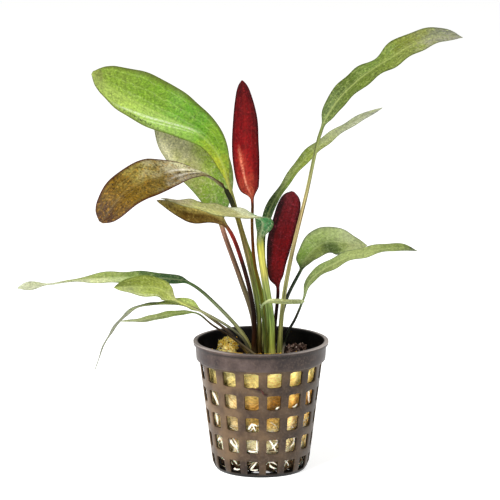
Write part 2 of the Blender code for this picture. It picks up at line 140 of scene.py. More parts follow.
for lamp_name, place, width, power in (
    ("key_lamp", (-0.75, -0.95, 1.05), 0.55, 31),
    ("fill_lamp", (1.1, -0.9, 0.6), 0.8, 12),
):
    bpy.ops.object.light_add(type="AREA", location=place)
    lamp = bpy.context.object
    lamp.name = lamp_name
    lamp.data.size = width
    lamp.data.energy = power
    lamp.rotation_euler = look_at(lamp, (0, 0, 0.09))


# --- Net pot ---
# A small net pot for water plants: black polypropylene, moulded in one piece, about 1 mm thick. A lip and a
# smooth band stand round its mouth, five rows of sixteen windows run round its tapered wall, and its flat
# base has slots round a solid centre. The wall is turned as a skin, cut, and then given its thickness.

POT_HEIGHT = 53
LIP_RADIUS = 27.5
LIP_HEIGHT = 1.3
BAND_RADIUS = 26.72  # where the lip leaves it
WALL_TOP = (25, 45)  # radius and height
WALL_FOOT = (20, 4.5)
WALL = 1
COLUMNS = 16
COLUMN_STEPS = 8  # 5 across a window and 3 across a rib
WINDOW_STEPS = 5
FIRST_WINDOW = 6  # degrees from +X
WINDOW_ROWS = ((38.3, 44.4), (28.95, 35.05), (19.6, 25.7), (10.25, 16.35), (1.4, 7))  # foot and top
WINDOW_LEVELS = 4
HALF_BAR = 1.62  # of the bar between two rows of windows
CORNER_DRAW = 0.42  # how far a window's corners are drawn in
SLOT_RADII = (8, 14.5)


def wall_radius(height):
    """Outer radius of the windowed wall at a height, in mm."""
    share = (height - WALL_FOOT[1]) / (WALL_TOP[1] - WALL_FOOT[1])
    return WALL_FOOT[0] + share * (WALL_TOP[0] - WALL_FOOT[0])


def column_place(angle):
    """How far an angle is into its column, in steps. Under WINDOW_STEPS it is in a window."""
    return ((math.degrees(angle) - FIRST_WINDOW) % (360 / COLUMNS)) / (360 / COLUMNS) * COLUMN_STEPS


def select_by(piece, kind, wanted):
    """In edit mode, selects the faces, edges or points that a test picks by their place, and nothing else."""
    bpy.ops.mesh.select_mode(type=kind)
    bpy.ops.mesh.select_all(action="DESELECT")
    shell = bmesh.from_edit_mesh(piece.data)
    shell.normal_update()
    for item in {"FACE": shell.faces, "EDGE": shell.edges, "VERT": shell.verts}[kind]:
        item.select = bool(wanted(item))
    shell.select_flush_mode()
    bmesh.update_edit_mesh(piece.data)


def widen(ratio, middle=(0, 0, 0)):
    """Draws what is selected outwards, or inwards, from an upright axis."""
    bpy.ops.transform.resize(value=(ratio, ratio, 1), center_override=middle)


# The radius and height of each ring of the skin, from the mouth down the wall and in under the base.
pot_rings = [(26.75, 53), (26.7, 51.7), (26.6, 49.6), (26.45, 47.5), (26.3, 45.7)]
pot_rings += [(26.1, 45.4), (25.15, 45.1)]
for foot, top in WINDOW_ROWS[:4]:
    levels = [top + (foot - top) * level / WINDOW_LEVELS for level in range(WINDOW_LEVELS + 1)]
    pot_rings += [(wall_radius(height), height) for height in (*levels, foot - HALF_BAR)]
pot_rings += [(wall_radius(height), height) for height in (7, 5.7)]
pot_rings += [(19.9, 4.2), (19.7, 2.8), (19.1, 1.4), (18.2, 0)]
pot_rings += [(radius, 0) for radius in (16, 14.5, 11.2, 8, 5, 2)]

pot = begin(
    "net_pot_moulding", bpy.ops.mesh.primitive_circle_add,
    vertices=COLUMNS * COLUMN_STEPS,
    radius=pot_rings[0][0] * MM,
    location=(0, 0, pot_rings[0][1] * MM),
    rotation=(0, 0, math.radians(FIRST_WINDOW)),
)
bpy.ops.object.mode_set(mode="EDIT")
bpy.ops.mesh.select_mode(type="EDGE")
bpy.ops.mesh.select_all(action="SELECT")
for (radius, height), (next_radius, next_height) in zip(pot_rings, pot_rings[1:]):
    rise = (next_height - height) * MM
    bpy.ops.mesh.extrude_region_move(TRANSFORM_OT_translate={"value": (0, 0, rise)})
    widen(next_radius / radius)
bpy.ops.mesh.merge(type="CENTER")
bpy.ops.mesh.select_all(action="SELECT")
bpy.ops.mesh.normals_make_consistent(inside=False)


# The windows and the slots are cut out, and the corners of the upper four rows are drawn in a little.
def is_open(face):
    """Whether a face of the skin lies in a window or in a slot of the base."""
    middle = face.calc_center_median()
    radius, height = math.hypot(middle.x, middle.y) / MM, middle.z / MM
    in_column = column_place(math.atan2(middle.y, middle.x)) < WINDOW_STEPS
    in_window = any(foot < height < top for foot, top in WINDOW_ROWS)
    in_slot = height < 0.1 and SLOT_RADII[0] < radius < SLOT_RADII[1]
    return in_column and (in_window or in_slot)


def is_corner(vertex, height):
    """Whether a point of the skin is a window's corner at a height in mm."""
    place = column_place(math.atan2(vertex.co.y, vertex.co.x) + 1e-5)
    return min(place, abs(place - WINDOW_STEPS)) < 0.1 and abs(vertex.co.z / MM - height) < 0.05


select_by(pot, "FACE", is_open)
bpy.ops.mesh.delete(type="FACE")
for foot, top in WINDOW_ROWS[:4]:
    for height, shift in ((foot, CORNER_DRAW), (top, -CORNER_DRAW)):
        select_by(pot, "VERT", lambda vertex: is_corner(vertex, height))
        bpy.ops.transform.translate(value=(0, 0, shift * MM))
bpy.ops.object.mode_set(mode="OBJECT")

wall = pot.modifiers.new("Wall", "SOLIDIFY")
wall.thickness = WALL * MM
wall.offset = -1
wall.use_even_offset = True
bpy.ops.object.modifier_apply(modifier=wall.name)


# The lip is drawn outwards from the top of the wall.
def in_lip(face):
    """Whether a face looks outwards at the top of the wall."""
    middle = face.calc_center_median()
    outward = face.normal.x * middle.x + face.normal.y * middle.y > 0.5 * math.hypot(middle.x, middle.y)
    return outward and middle.z > (POT_HEIGHT - LIP_HEIGHT) * MM


bpy.ops.object.mode_set(mode="EDIT")
select_by(pot, "FACE", in_lip)
bpy.ops.mesh.extrude_region_move()
widen(LIP_RADIUS / BAND_RADIUS)
bpy.ops.object.mode_set(mode="OBJECT")

edge = pot.modifiers.new("Moulded edges", "BEVEL")
edge.width = 0.2 * MM
edge.segments = 2
edge.limit_method = "ANGLE"
edge.angle_limit = math.radians(40)
bpy.ops.object.modifier_apply(modifier=edge.name)
bpy.ops.object.shade_smooth_by_angle(angle=math.radians(40))


def overlap(put, *ranges):
    """The product of some ranges. Each is a value, its low and high ends, and the strengths there."""
    product = put("MapRange", *ranges[0])
    for given in ranges[1:]:
        product = put("Math MULTIPLY", product, put("MapRange", *given))
    return product


# Polypropylene moulded black. Handling has left it a dull satin with fine scuffs, and lime and dust from the
# water have greyed its outside to a warm brown. As painted light, the outside is paler at the left and darker
# at the right, and a painted highlight runs along the top of the lip with a painted shadow under it. The
# outside is also darker towards the foot. The inside is painted nearly black: painted shade in the hollow of
# the black pot.
polypropylene, put = new_material("black moulded polypropylene")
place = put("TexCoord").outputs["Object"]
x, y, z = put("SeparateXYZ", place).outputs
from_axis = put("VectorMath LENGTH", put("CombineXYZ", x, y))
taper = put("MapRange", z, 0.0045, 0.045, 0.02, 0.025, clamp=False)
depth = put("Math SUBTRACT", taper, from_axis)
inside = put("MapRange", depth, 0.00025, 0.00085, interpolation_type="SMOOTHSTEP")
in_band = put("MapRange", z, 0.0452, 0.0456)
band_inside = put("MapRange", from_axis, 0.0257, 0.0262, 1, 0)
inside_shade_mask = put("Mix FLOAT", in_band, inside, band_inside)
clouds = put("TexNoise", place, 95, 5, 0.62)  # 10 mm
scuffs = put("TexNoise", place, 900, 3, 0.7)  # 1 mm
band_tone = put("ValToRGB", clouds, stops="32 2C2222, 50 443733, 68 5A4C48")
wall_tone = put("ValToRGB", clouds, stops="34 36281F, 50 503E2D, 66 6A543C")
outer = put("Mix RGBA", in_band, wall_tone, band_tone)
# Painted light: the outside is painted paler at the left, where the lamp falls, and darker to the right. It
# is also darker towards the foot.
painted_light_and_dark_foot = overlap(put, (x, -0.026, 0.018, 1.2, 0.42), (z, 0.002, 0.012, 0.6, 1))  # pale at the left, dark below
side_lit_colour = put("VectorMath MULTIPLY", outer, painted_light_and_dark_foot)
dusty = put("MapRange", scuffs, 0.5, 0.72, 0, 0.3)
greyed = put("Mix RGBA", dusty, side_lit_colour, "6E5E50")
# A painted highlight: a pale line along the top of the lip, strongest at the left and right sides.
lip_highlight_mask = overlap(put, (z, 0.0525, 0.0528, 0, 1), (put("Math ABSOLUTE", x), 0.01, 0.024, 0.15, 0.8))
lip_highlighted = put("Mix RGBA", lip_highlight_mask, greyed, "A89E98")
# A painted shadow: a dark band just under the lip.
rise = put("MapRange", z, 0.05, 0.053)
under_lip_shadow_mask = put("ValToRGB", rise, stops="10 000000, 42 D0D0D0, 62 D0D0D0, 72 000000")
lip_shadowed = put("Mix RGBA", under_lip_shadow_mask, lip_highlighted, "140E0C")
# Painted shade: the inside of the pot is painted nearly black, as the shade in its hollow, over its black
# plastic.
both = put("Mix RGBA", inside_shade_mask, lip_shadowed, "050403")
dull = put("MapRange", scuffs, 0.3, 0.7, 0.3, 0.46)
relief = put("Bump", height=scuffs, strength=0.12, distance=0.0002)
shader = put(
    "BsdfPrincipled", base_color=both, roughness=dull, ior=1.49, specular_ior_level=0.22, normal=relief,
)
put("OutputMaterial", shader)
pot.data.materials.append(polypropylene)
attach(pot, "root")
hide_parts("net_pot")


# --- Mineral wool plug ---
# The plant is rooted in a plug of mineral wool: rock spun into fine fibres and pressed into a soft block that
# fills the pot. Water has stained it from straw to amber. It is shaped from a cylinder, with a hollow in its
# top for the crown, and loose fibres lie all over its side.

PLUG_TOP = (23, 46.2)  # radius and height
PLUG_FOOT = (17.2, 1.4)
TUFT = (-13.5, 7)  # its place from the pot's axis
TUFT_HEIGHT = 48.9  # of the middle of its knob
LOOSE_FIBRES = 2100
WISPS = 260
TUFT_FIBRES = 520
CAUGHT_FIBRES = 150


def roughen(piece, name, size, depth, rest, detail=2):
    """Makes a surface lumpy: the size and depth of the lumps in mm, and the level that stays in place."""
    lumps = bpy.data.textures.new(name, "CLOUDS")
    lumps.noise_scale = size * MM
    lumps.noise_depth = detail
    press = piece.modifiers.new(name, "DISPLACE")
    press.texture = lumps
    press.texture_coords = "LOCAL"
    press.strength = depth * MM
    press.mid_level = rest
    bpy.ops.object.modifier_apply(modifier=press.name)


plug = begin(
    "mineral_wool_block", bpy.ops.mesh.primitive_cylinder_add,
    vertices=96,
    radius=PLUG_TOP[0] * MM,
    depth=(PLUG_TOP[1] - PLUG_FOOT[1]) * MM,
    location=(0, 0, (PLUG_TOP[1] + PLUG_FOOT[1]) / 2 * MM),
)
bpy.ops.object.mode_set(mode="EDIT")
select_by(plug, "FACE", lambda face: face.normal.z < -0.9)
widen(PLUG_FOOT[0] / PLUG_TOP[0])
select_by(plug, "EDGE", lambda line: abs(line.verts[0].co.z - line.verts[1].co.z) > 0.02)
bpy.ops.mesh.subdivide(number_cuts=40)

# The top gets rings, then the hollow, and the underside gets rings too.
select_by(plug, "FACE", lambda face: face.normal.z > 0.9)
for step in (0.7, 1, 1.2, *[1.3] * 7):
    bpy.ops.mesh.inset(thickness=step * MM)
bpy.ops.mesh.extrude_region_move(TRANSFORM_OT_translate={"value": (0, 0, -2.6 * MM)})
widen(0.86)
for step in (2, 2.5, 2.5):
    bpy.ops.mesh.inset(thickness=step * MM)
bpy.ops.mesh.poke()
select_by(plug, "FACE", lambda face: face.normal.z < -0.9 and len(face.verts) > 4)
for step in (1.2, 4):
    bpy.ops.mesh.inset(thickness=step * MM)
bpy.ops.mesh.poke()

# The wool is pulled up where the tuft stands.
tuft_foot = Vector((*TUFT, PLUG_TOP[1])) * MM
tuft_top = min(bmesh.from_edit_mesh(plug.data).verts, key=lambda vertex: (vertex.co - tuft_foot).length).index
select_by(plug, "VERT", lambda vertex: vertex.index == tuft_top)
bpy.ops.transform.translate(
    value=(0, 0, 5.2 * MM),
    use_proportional_edit=True,
    proportional_edit_falloff="SPHERE",
    proportional_size=4 * MM,
)
bpy.ops.object.mode_set(mode="OBJECT")

roughen(plug, "lumps", 7.5, 1.5, 0.95, detail=3)
roughen(plug, "flock", 1.9, 0.7, 0.75, detail=3)
bpy.ops.object.shade_smooth()


def near_stain(put, place, strength):
    """How strong the dark stain at the front is: full within 3.5 mm of its middle and gone at 7.5 mm."""
    away = put("VectorMath DISTANCE", place, (0.0075, -0.021, 0.031))
    return put("MapRange", away, 0.0035, 0.0075, strength, 0)


# Stained mineral wool: dry and straw-coloured near the top window, amber where the peaty water stands, paler
# below that, and dark with old roots at the foot. The top has taken up a crust of dark peat. It is dead matt.
# Pale patches in the lower windows at the left and right, a brighter right side and a brighter knob under the
# tuft are painted light.
wool, put = new_material("stained mineral wool")
place = put("TexCoord").outputs["Object"]
x, y, z = put("SeparateXYZ", place).outputs
stains = put("TexNoise", place, 130, 4, 0.6)  # 8 mm
squashed = put("Mapping", vector=place, scale=(800, 800, 1300))
fibres = put("TexNoise", squashed, 1, 5, 0.7)  # 1.2 mm by 0.8 mm
level = put("MapRange", z, 0, 0.05)
moved = put("Math ADD", level, put("MapRange", stains, 0.3, 0.7, -0.05, 0.05))
bands = put(
    "ValToRGB", moved,
    stops="6 2A1C12, 15 6E5838, 22 F0E6C0, 36 F2E6A2, 48 D8AC54, 62 DDA650, 72 EED27A, 90 F8E898",
)
amber = put("TexNoise", place, 105, 2, 0.5)  # 10 mm
spread = put("MapRange", amber, 0.5, 0.66)
middle = put("ValToRGB", level, stops="30 000000, 42 FFFFFF, 68 FFFFFF, 80 000000")
brown = put("Math MAXIMUM", put("Math MULTIPLY", spread, middle), near_stain(put, place, 0.85))
stained = put("Mix RGBA", brown, bands, "8E5A1E")
# Painted light: pale patches brighten the wool in the lower windows at the left and at the right.
painted_light_left = overlap(put, (x, -0.013, -0.006, 0.95, 0), (z, 0.0345, 0.0375, 1, 0))
painted_light_right = overlap(put, (x, 0.009, 0.014, 0, 0.85), (z, 0.0255, 0.0285, 1, 0))
painted_light_patches = put("Math MAXIMUM", painted_light_left, painted_light_right)
painted_light_patches = put("Math MULTIPLY", painted_light_patches, put("MapRange", z, 0.0085, 0.011))  # not at the foot
stained = put("Mix RGBA", painted_light_patches, stained, "FFE9AC")
# The fibre grain varies the wool's brightness. Painted light then makes it brighter towards the right and
# doubles it on the knob under the tuft.
grain_and_painted_light = overlap(put, (fibres, 0.32, 0.68, 0.5, 1.5), (x, -0.018, 0.018, 0.74, 1.6), (z, 0.047, 0.0485, 1, 2))
grained_and_lit_wool = put("VectorMath MULTIPLY", stained, grain_and_painted_light)
tuft_place = put("Mapping", vector=place, location=(0.0135, -0.007, 0), vector_type="POINT")
from_tuft = put("VectorMath LENGTH", put("VectorMath MULTIPLY", tuft_place, (1, 1, 0)))
crust = overlap(put, (z, 0.0438, 0.0449, 0, 1), (from_tuft, 0.0032, 0.0055, 0, 1), (y, -0.0205, -0.017, 0, 1))
peat = put("ValToRGB", fibres, stops="40 120A06, 60 2E1A10, 75 6E4E28")
covered = put("Mix RGBA", crust, grained_and_lit_wool, peat)
relief = put("Bump", height=fibres, strength=0.8, distance=0.0004)
shader = put(
    "BsdfPrincipled", base_color=covered, roughness=0.95, ior=1.4, specular_ior_level=0.2, normal=relief,
)
put("OutputMaterial", shader)
plug.data.materials.append(wool)
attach(plug, "root")
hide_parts("rockwool_plug")


# Loose fibres: thousands of bent threads are more than the operators can shape in the time, so each is
# lofted round its own path in code. They are drawn far thicker than real ones so that they show.

class Strands:
    """Gathers many thin tapered threads into one mesh."""

    def __init__(self):
        self.points, self.faces, self.tints = [], [], []

    def add(self, path, radii, tint, sides=3):
        """One thread along a path in mm, with its radius at each point."""
        start = len(self.points)
        across = None
        for i, point in enumerate(path):
            ahead = (path[min(i + 1, len(path) - 1)] - path[max(i - 1, 0)]).normalized()
            across = across or ahead.orthogonal()
            across = (across - ahead * across.dot(ahead)).normalized()
            up = ahead.cross(across)
            for k in range(sides):
                turn = 2 * math.pi * k / sides
                self.points.append((point + (across * math.cos(turn) + up * math.sin(turn)) * radii[i]) * MM)
                self.tints.append(tint)
        for i in range(len(path) - 1):
            for k in range(sides):
                a, b = start + i * sides + k, start + i * sides + (k + 1) % sides
                self.faces.append((a, b, b + sides, a + sides))
        self.faces.append(tuple(range(start + sides - 1, start - 1, -1)))
        end = len(self.points)
        self.faces.append(tuple(range(end - sides, end)))

    def finish(self, name, finish, node_slot, replaced=()):
        """Makes the piece, and keeps each thread's tint as an attribute."""
        mesh = bpy.data.meshes.new(name)
        mesh.from_pydata(self.points, [], self.faces)
        tints = mesh.attributes.new("tint", "FLOAT", "POINT")
        tints.data.foreach_set("value", self.tints)
        mesh.materials.append(finish)
        mesh.shade_smooth()
        piece = bpy.data.objects.new(name, mesh)
        bpy.context.scene.collection.objects.link(piece)
        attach(piece, "root")
        for node in replaced:
            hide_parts(node)


def polar(radius, angle, height):
    """A point round the pot's axis, at an angle in radians from +X."""
    return Vector((radius * math.cos(angle), radius * math.sin(angle), height))


def plug_side(angle, height, lift):
    """A point over the side of the wool, in mm, at an angle in radians from +X."""
    share = (height - PLUG_FOOT[1]) / (PLUG_TOP[1] - PLUG_FOOT[1])
    return polar(PLUG_FOOT[0] + share * (PLUG_TOP[0] - PLUG_FOOT[0]) + lift, angle, height)


chance = random.Random(41)
between = chance.uniform
flock = Strands()
for _ in range(LOOSE_FIBRES):
    angle, height = between(-math.pi, math.pi), between(8, 45.5)
    length, tilt = between(1.5, 5), chance.gauss(0, 0.6)
    lift, bow = between(-0.9, 0.15), between(-0.5, 0.5)
    path = []
    for i in range(6):
        share = i / 5 - 0.5
        rise = height + tilt * length * share + bow * (1 - 4 * share * share)
        rise = min(max(rise, 3), 45.6)  # it stays on the block's side
        ripple = 0.25 * math.sin(6 * share + bow * 8)
        path.append(plug_side(angle + share * length / 20, rise, lift + ripple))
    width = between(0.05, 0.11)
    flock.add(path, [0.3 * width, width, width, width, 0.9 * width, 0.3 * width], chance.random())
for _ in range(WISPS):  # along the front edge of the top
    angle, out_by = math.radians(between(-150, -30)), between(-2.2, 0)
    length, rise = between(2, 5), between(0, 0.5)
    path = []
    for i in range(5):
        share = i / 4 - 0.5
        point = plug_side(angle + share * length / 21, 46, -1 + out_by + between(-0.2, 0.2))
        point.z = 46 + rise + 0.4 * math.cos(3 * share)
        path.append(point)
    width = between(0.06, 0.12)
    flock.add(path, [0.4 * width, width, width, width, 0.4 * width], between(0.2, 0.9))

# A single fibre is glass-like rock wool wetted with tannin: pale straw to amber, with a faint gloss.
fibre_finish, put = new_material("loose rock wool fibre")
place = put("TexCoord").outputs["Object"]
x, _, z = put("SeparateXYZ", place).outputs
tint = put("Attribute", attribute_name="tint").outputs["Fac"]
level = put("MapRange", z, 0, 0.05)
low = put(
    "ValToRGB", level,
    stops="6 3A2A1A, 16 A08C64, 24 EADFB4, 48 E0B860, 62 E2AC50, 74 F4DC8C, 90 FCEEA4",
)
toned = put("ValToRGB", tint, stops="0 8A5E1C, 25 D8A83C, 60 F0D474, 100 FCF4CC")
mixed = put("Mix RGBA", 0.5, low, toned)
soaked = put("Mix RGBA", near_stain(put, place, 0.75), mixed, "6E4818")
# Painted light: the fibres are painted darker at the left and brighter towards the right.
painted_fibre_light = put("MapRange", x, -0.018, 0.018, 0.8, 1.45)
shaded = put("VectorMath MULTIPLY", soaked, painted_fibre_light)
shader = put("BsdfPrincipled", base_color=shaded, roughness=0.6, ior=1.5)
put("OutputMaterial", shader)
flock.finish("wool_fibres", fibre_finish, "mineral_wool")

tuft = Strands()
for _ in range(TUFT_FIBRES):  # the tuft that stands up at the left: short curled fibres over a knob of wool
    lean, around = math.acos(between(-0.75, 1)), between(-math.pi, math.pi)
    out = Vector((math.sin(lean) * math.cos(around), math.sin(lean) * math.sin(around), math.cos(lean)))
    bulge = 1 + 0.45 * noise.noise(out * 1.9)
    foot = Vector((*TUFT, TUFT_HEIGHT)) + Vector((out.x * 3.1, out.y * 3.1, out.z * 3)) * bulge
    side = out.orthogonal() * between(-1, 1)
    side += out.cross(out.orthogonal()) * between(-1, 1)
    reach = between(0.2, 0.9) * chance.choice((1, 1, 1.8))
    path = [foot + out * reach * math.sin(2.2 * share) + side * share for share in (0, 0.33, 0.66, 1)]
    width = between(0.09, 0.17)
    tuft.add(path, [width, width, 0.9 * width, 0.4 * width], chance.random())
for _ in range(CAUGHT_FIBRES):  # fibres that have caught on the inside of the lip at the front
    angle, height = math.radians(chance.gauss(-90, 20)), between(51.9, 52.75)
    drift, radius = between(-0.16, 0.16), between(24.9, 25.6)
    path = []
    for share in (0, 0.33, 0.66, 1):
        turn = angle + drift * share
        path.append(polar(radius, turn, height + 0.25 * math.sin(3 * share)))
    width = between(0.06, 0.12)
    tuft.add(path, [0.5 * width, width, width, 0.4 * width], between(0, 0.24))

# Fibres that stand in the light, above the wet wool, have dried to gold.
gold_fibre, put = new_material("dry rock wool fibre")
tint = put("Attribute", attribute_name="tint").outputs["Fac"]
golden = put("ValToRGB", tint, stops="0 8A5C14, 13 F8BC2C, 40 FFE054, 75 FFF08C, 100 FFFFE0")
shader = put("BsdfPrincipled", base_color=golden, roughness=0.6, ior=1.5)
put("OutputMaterial", shader)
tuft.finish("wool_tuft", gold_fibre, "mineral_wool")


# --- Roots ---
# The roots of the plant have grown out of the wool and run down inside the wall. Young ones are cream-white
# and firm, old ones brown. Eight long ones follow the solids, and shorter ones show in the windows.

SHORT_ROOTS = 90
LONG_ROOT_STEPS = 23
SHOWING_SCALE = 1.2  # the radii of the roots in the windows are drawn this much larger, so that they show
LONG_ROOTS = (  # angle at the top in degrees from +X, turn to the end, height at top and end
    (-158, 26, 19, 4.5),
    (-128, 18, 17, 4),
    (-84, -17, 22, 5),
    (-72, 20, 16, 4),
    (-24, -20, 20, 6),
    (-8, 24, 18, 4.5),
    (60, 24, 20, 5),
    (130, 22, 17, 4.5),
)
SHOWING_ROOTS = (  # each point is degrees to the right of the front and a height; then comes the radius
    (((-14.5, 20.3), (-12, 21.8), (-9.7, 22.8), (-7.5, 21), (-6, 19.7)), 0.36),
    (((-9.7, 22.7), (-7, 22.6), (-4, 22)), 0.3),
    (((-4.2, 17), (-4.6, 14), (-4.2, 11)), 0.42),
    (((-16, 11.3), (-10, 10.9), (-4.2, 11.2)), 0.38),
    (((-43, 16), (-36, 13.6), (-29, 11.4)), 0.5),
    (((-38, 15.6), (-33.5, 12.6)), 0.3),
    (((-57.1, 14.9), (-62, 13.4), (-67, 11.8)), 0.42),
    (((8.5, 16.8), (13.5, 14), (18.5, 11)), 0.4),
    (((19.8, 15.2), (17.5, 14), (13, 12.2)), 0.34),
    (((40.2, 17), (43.6, 14.4), (37.5, 11.9)), 0.4),
    (((-36.5, 6.7), (-34, 6.2), (-31.5, 5)), 0.34),
    (((-39, 2.7), (-34, 2.4), (-29, 2.8)), 0.36),
    (((-15.5, 6.8), (-9, 7.2), (-5, 7), (-9, 5), (-13, 3.2), (-8, 2.9), (-3.8, 3.2)), 0.36),
    (((8, 6.9), (14, 6.6), (21, 5)), 0.38),
    (((10.5, 5.2), (15, 4.1), (20.6, 3.4)), 0.34),
    (((-62.5, 34.4), (-58, 32), (-53, 28.8)), 0.48),
    (((-60, 26), (-59, 23), (-59.4, 20)), 0.48),
    (((60.2, 34.6), (62, 31.5), (65.3, 28.4)), 0.4),
    (((35.8, 29.4), (38.5, 29.1), (42, 30.3)), 0.34),
    (((16, 29), (19.8, 30)), 0.36),
)


def on_wall(angle, height, gap):
    """A point inside the wall of the pot, in mm, with a gap between the two."""
    radius = wall_radius(height) if height > 4.5 else 18 + 0.4 * height
    return polar(radius - WALL - gap, angle, height)


def smooth_path(points, pieces=4):
    """A curve through the points, with some steps to each span."""
    knots = [2 * points[0] - points[1], *points, 2 * points[-1] - points[-2]]
    path = []
    for a, b, c, d in zip(knots, knots[1:], knots[2:], knots[3:]):
        for k in range(pieces):
            t = k / pieces
            bend, twist = 2 * a - 5 * b + 4 * c - d, 3 * b - a - 3 * c + d
            path.append(0.5 * (2 * b + (c - a) * t + bend * t * t + twist * t ** 3))
    path.append(points[-1])
    return path


roots = Strands()
for start, turn, top, foot in LONG_ROOTS:
    path = []
    for i in range(LONG_ROOT_STEPS + 1):
        share = i / LONG_ROOT_STEPS
        angle = math.radians(start + turn * (share + 0.12 * math.sin(7 * share)))
        gap = 1.05 + 0.18 * math.sin(17 * share + start)
        path.append(on_wall(angle, top + share * (foot - top) + 0.15 * math.sin(23 * share), gap))
    radii = [0.45 - 0.22 * i / LONG_ROOT_STEPS for i in range(LONG_ROOT_STEPS + 1)]
    roots.add(path, radii, between(0.3, 0.9), sides=7)
for points, width in SHOWING_ROOTS:
    width *= SHOWING_SCALE
    path = smooth_path([on_wall(math.radians(angle - 90), height, 0.1 + width) for angle, height in points])
    last = len(path) - 1
    radii = [width * (1 - 0.45 * (i / last) ** 2) for i in range(last + 1)]
    radii[0] = radii[-1] = 0.4 * width
    roots.add(path, radii, between(0.8, 1), sides=7)
for _ in range(SHORT_ROOTS):
    angle, height = between(-math.pi, math.pi), between(5, 24)
    drift, fall = chance.gauss(0, 0.11), between(-1.6, -0.3)
    gap = between(0.5, 1.5)
    path = []
    for i in range(chance.randint(5, 11)):
        path.append(on_wall(angle, max(height, 2.2), gap))
        angle += drift + chance.gauss(0, 0.05)
        height += fall + chance.gauss(0, 0.4)
    width = between(0.12, 0.24)
    path = smooth_path(path, 2)
    roots.add(path, [width * (1 - 0.7 * i / len(path)) for i in range(len(path))], chance.random(), sides=5)

# Root tissue: white and waxy when young, browning with age, a little see-through, with a soft damp gloss.
root_finish, put = new_material("young root tissue")
place = put("TexCoord").outputs["Object"]
tint = put("Attribute", attribute_name="tint").outputs["Fac"]
spots = put("TexNoise", place, 600, 3)  # 1.7 mm
age = put("Math ADD", tint, put("MapRange", spots, 0.35, 0.65, -0.2, 0.2))
root_colour = put("ValToRGB", age, stops="0 5A4028, 30 A08A62, 60 DCD0B0, 85 F4ECDA")
shader = put(
    "BsdfPrincipled",
    base_color=root_colour, roughness=0.45, ior=1.4, subsurface_weight=0.15, subsurface_scale=0.0006,
)
put("OutputMaterial", shader)
roots.finish("roots", root_finish, "root_tissue", ["root_%02d" % i for i in range(1, 9)])


# --- Crown ---
# The short upright stock that all the leaves grow from. It is solid, fibrous plant tissue, brown and rough
# where old leaves have rotted off, and the feet of the petioles sheathe it. It is shaped from a cylinder.

CROWN_RADIUS = 7.3
CROWN_HEIGHT = 3.7
CROWN_PLACE = (1.8, -0.3, 45.15)  # its middle

stock = begin(
    "crown_stock", bpy.ops.mesh.primitive_cylinder_add,
    vertices=40,
    radius=CROWN_RADIUS * MM,
    depth=CROWN_HEIGHT * MM,
    location=[side * MM for side in CROWN_PLACE],
)
bpy.ops.object.mode_set(mode="EDIT")
select_by(stock, "EDGE", lambda line: abs(line.verts[0].co.z - line.verts[1].co.z) > 0.003)
bpy.ops.mesh.subdivide(number_cuts=8)
select_by(stock, "FACE", lambda face: face.normal.z > 0.9)
for _ in range(6):
    bpy.ops.mesh.inset(thickness=1.1 * MM)
bpy.ops.mesh.poke()
select_by(stock, "FACE", lambda face: face.normal.z < -0.9)
widen(0.75, (CROWN_PLACE[0] * MM, CROWN_PLACE[1] * MM, 0))
bpy.ops.mesh.inset(thickness=2 * MM)
bpy.ops.mesh.poke()
bpy.ops.object.mode_set(mode="OBJECT")
roughen(stock, "leaf scars", 1.6, 0.9, 0.7)
bpy.ops.object.shade_smooth()

# Old fibrous leaf bases: dark brown with tan threads that run upwards, rough and without gloss.
stock_finish, put = new_material("fibrous crown tissue")
place = put("TexCoord").outputs["Object"]
drawn = put("Mapping", vector=place, scale=(1400, 1400, 250))
threads = put("TexNoise", drawn, 1, 4, 0.7)  # 0.7 mm threads
stock_colour = put("ValToRGB", threads, stops="35 22140C, 52 4E3620, 68 9A7A48")
relief = put("Bump", height=threads, strength=0.7, distance=0.0003)
shader = put("BsdfPrincipled", base_color=stock_colour, roughness=0.85, ior=1.4, normal=relief)
put("OutputMaterial", shader)
stock.data.materials.append(stock_finish)
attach(stock, "root")
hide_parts("crown")


# --- Leaves ---
# Sixteen living leaves, each a slim round petiole that runs on as the midrib of a thin lance-shaped blade.
# They are soft, glossy tissue with arching veins; old ones have turned brown, and young ones are red. Each is
# grown from a cylinder, cut into rings, and every ring is set in code to its place on the leaf's own route.

FOOT = 47.3  # height of every petiole's foot, on the crown
WIDTH_AT = (0.1, 0.3, 0.5, 0.7, 0.9)  # shares of the blade's length where its half-width is given
TIP_ROUND = 0.05  # share of the blade over which its tip is rounded off
LEAST_WIDTH = 0.4
BLADE_THICKNESS = 0.6
AROUND = 40
PETIOLE_RINGS = 22
BLADE_RINGS = 72


def smooth_route(points, pieces=16):
    """A dense curve through the points, the length at each of its points, and each given point's index."""
    knots = [2 * points[0] - points[1], *points, 2 * points[-1] - points[-2]]
    route, marks = [], []
    for i in range(len(points) - 1):
        near = knots[i : i + 4]
        times = [0]
        for a, b in zip(near, near[1:]):
            times.append(times[-1] + math.sqrt((b - a).length))
        marks.append(len(route))
        for k in range(pieces):
            moment = times[1] + (times[2] - times[1]) * k / pieces
            row = near
            for step in (1, 2):
                row = [
                    a.lerp(b, (moment - times[j]) / (times[j + step] - times[j]))
                    for j, (a, b) in enumerate(zip(row, row[1:]))
                ]
            route.append(row[0].lerp(row[1], (moment - times[1]) / (times[2] - times[1])))
    marks.append(len(route))
    route.append(points[-1])
    lengths = [0]
    for a, b in zip(route, route[1:]):
        lengths.append(lengths[-1] + (b - a).length)
    return route, lengths, marks


def along(route, lengths, distance):
    """The point at a distance along a dense route."""
    i = min(max(bisect.bisect_right(lengths, distance) - 1, 0), len(route) - 2)
    return route[i].lerp(route[i + 1], (distance - lengths[i]) / (lengths[i + 1] - lengths[i]))


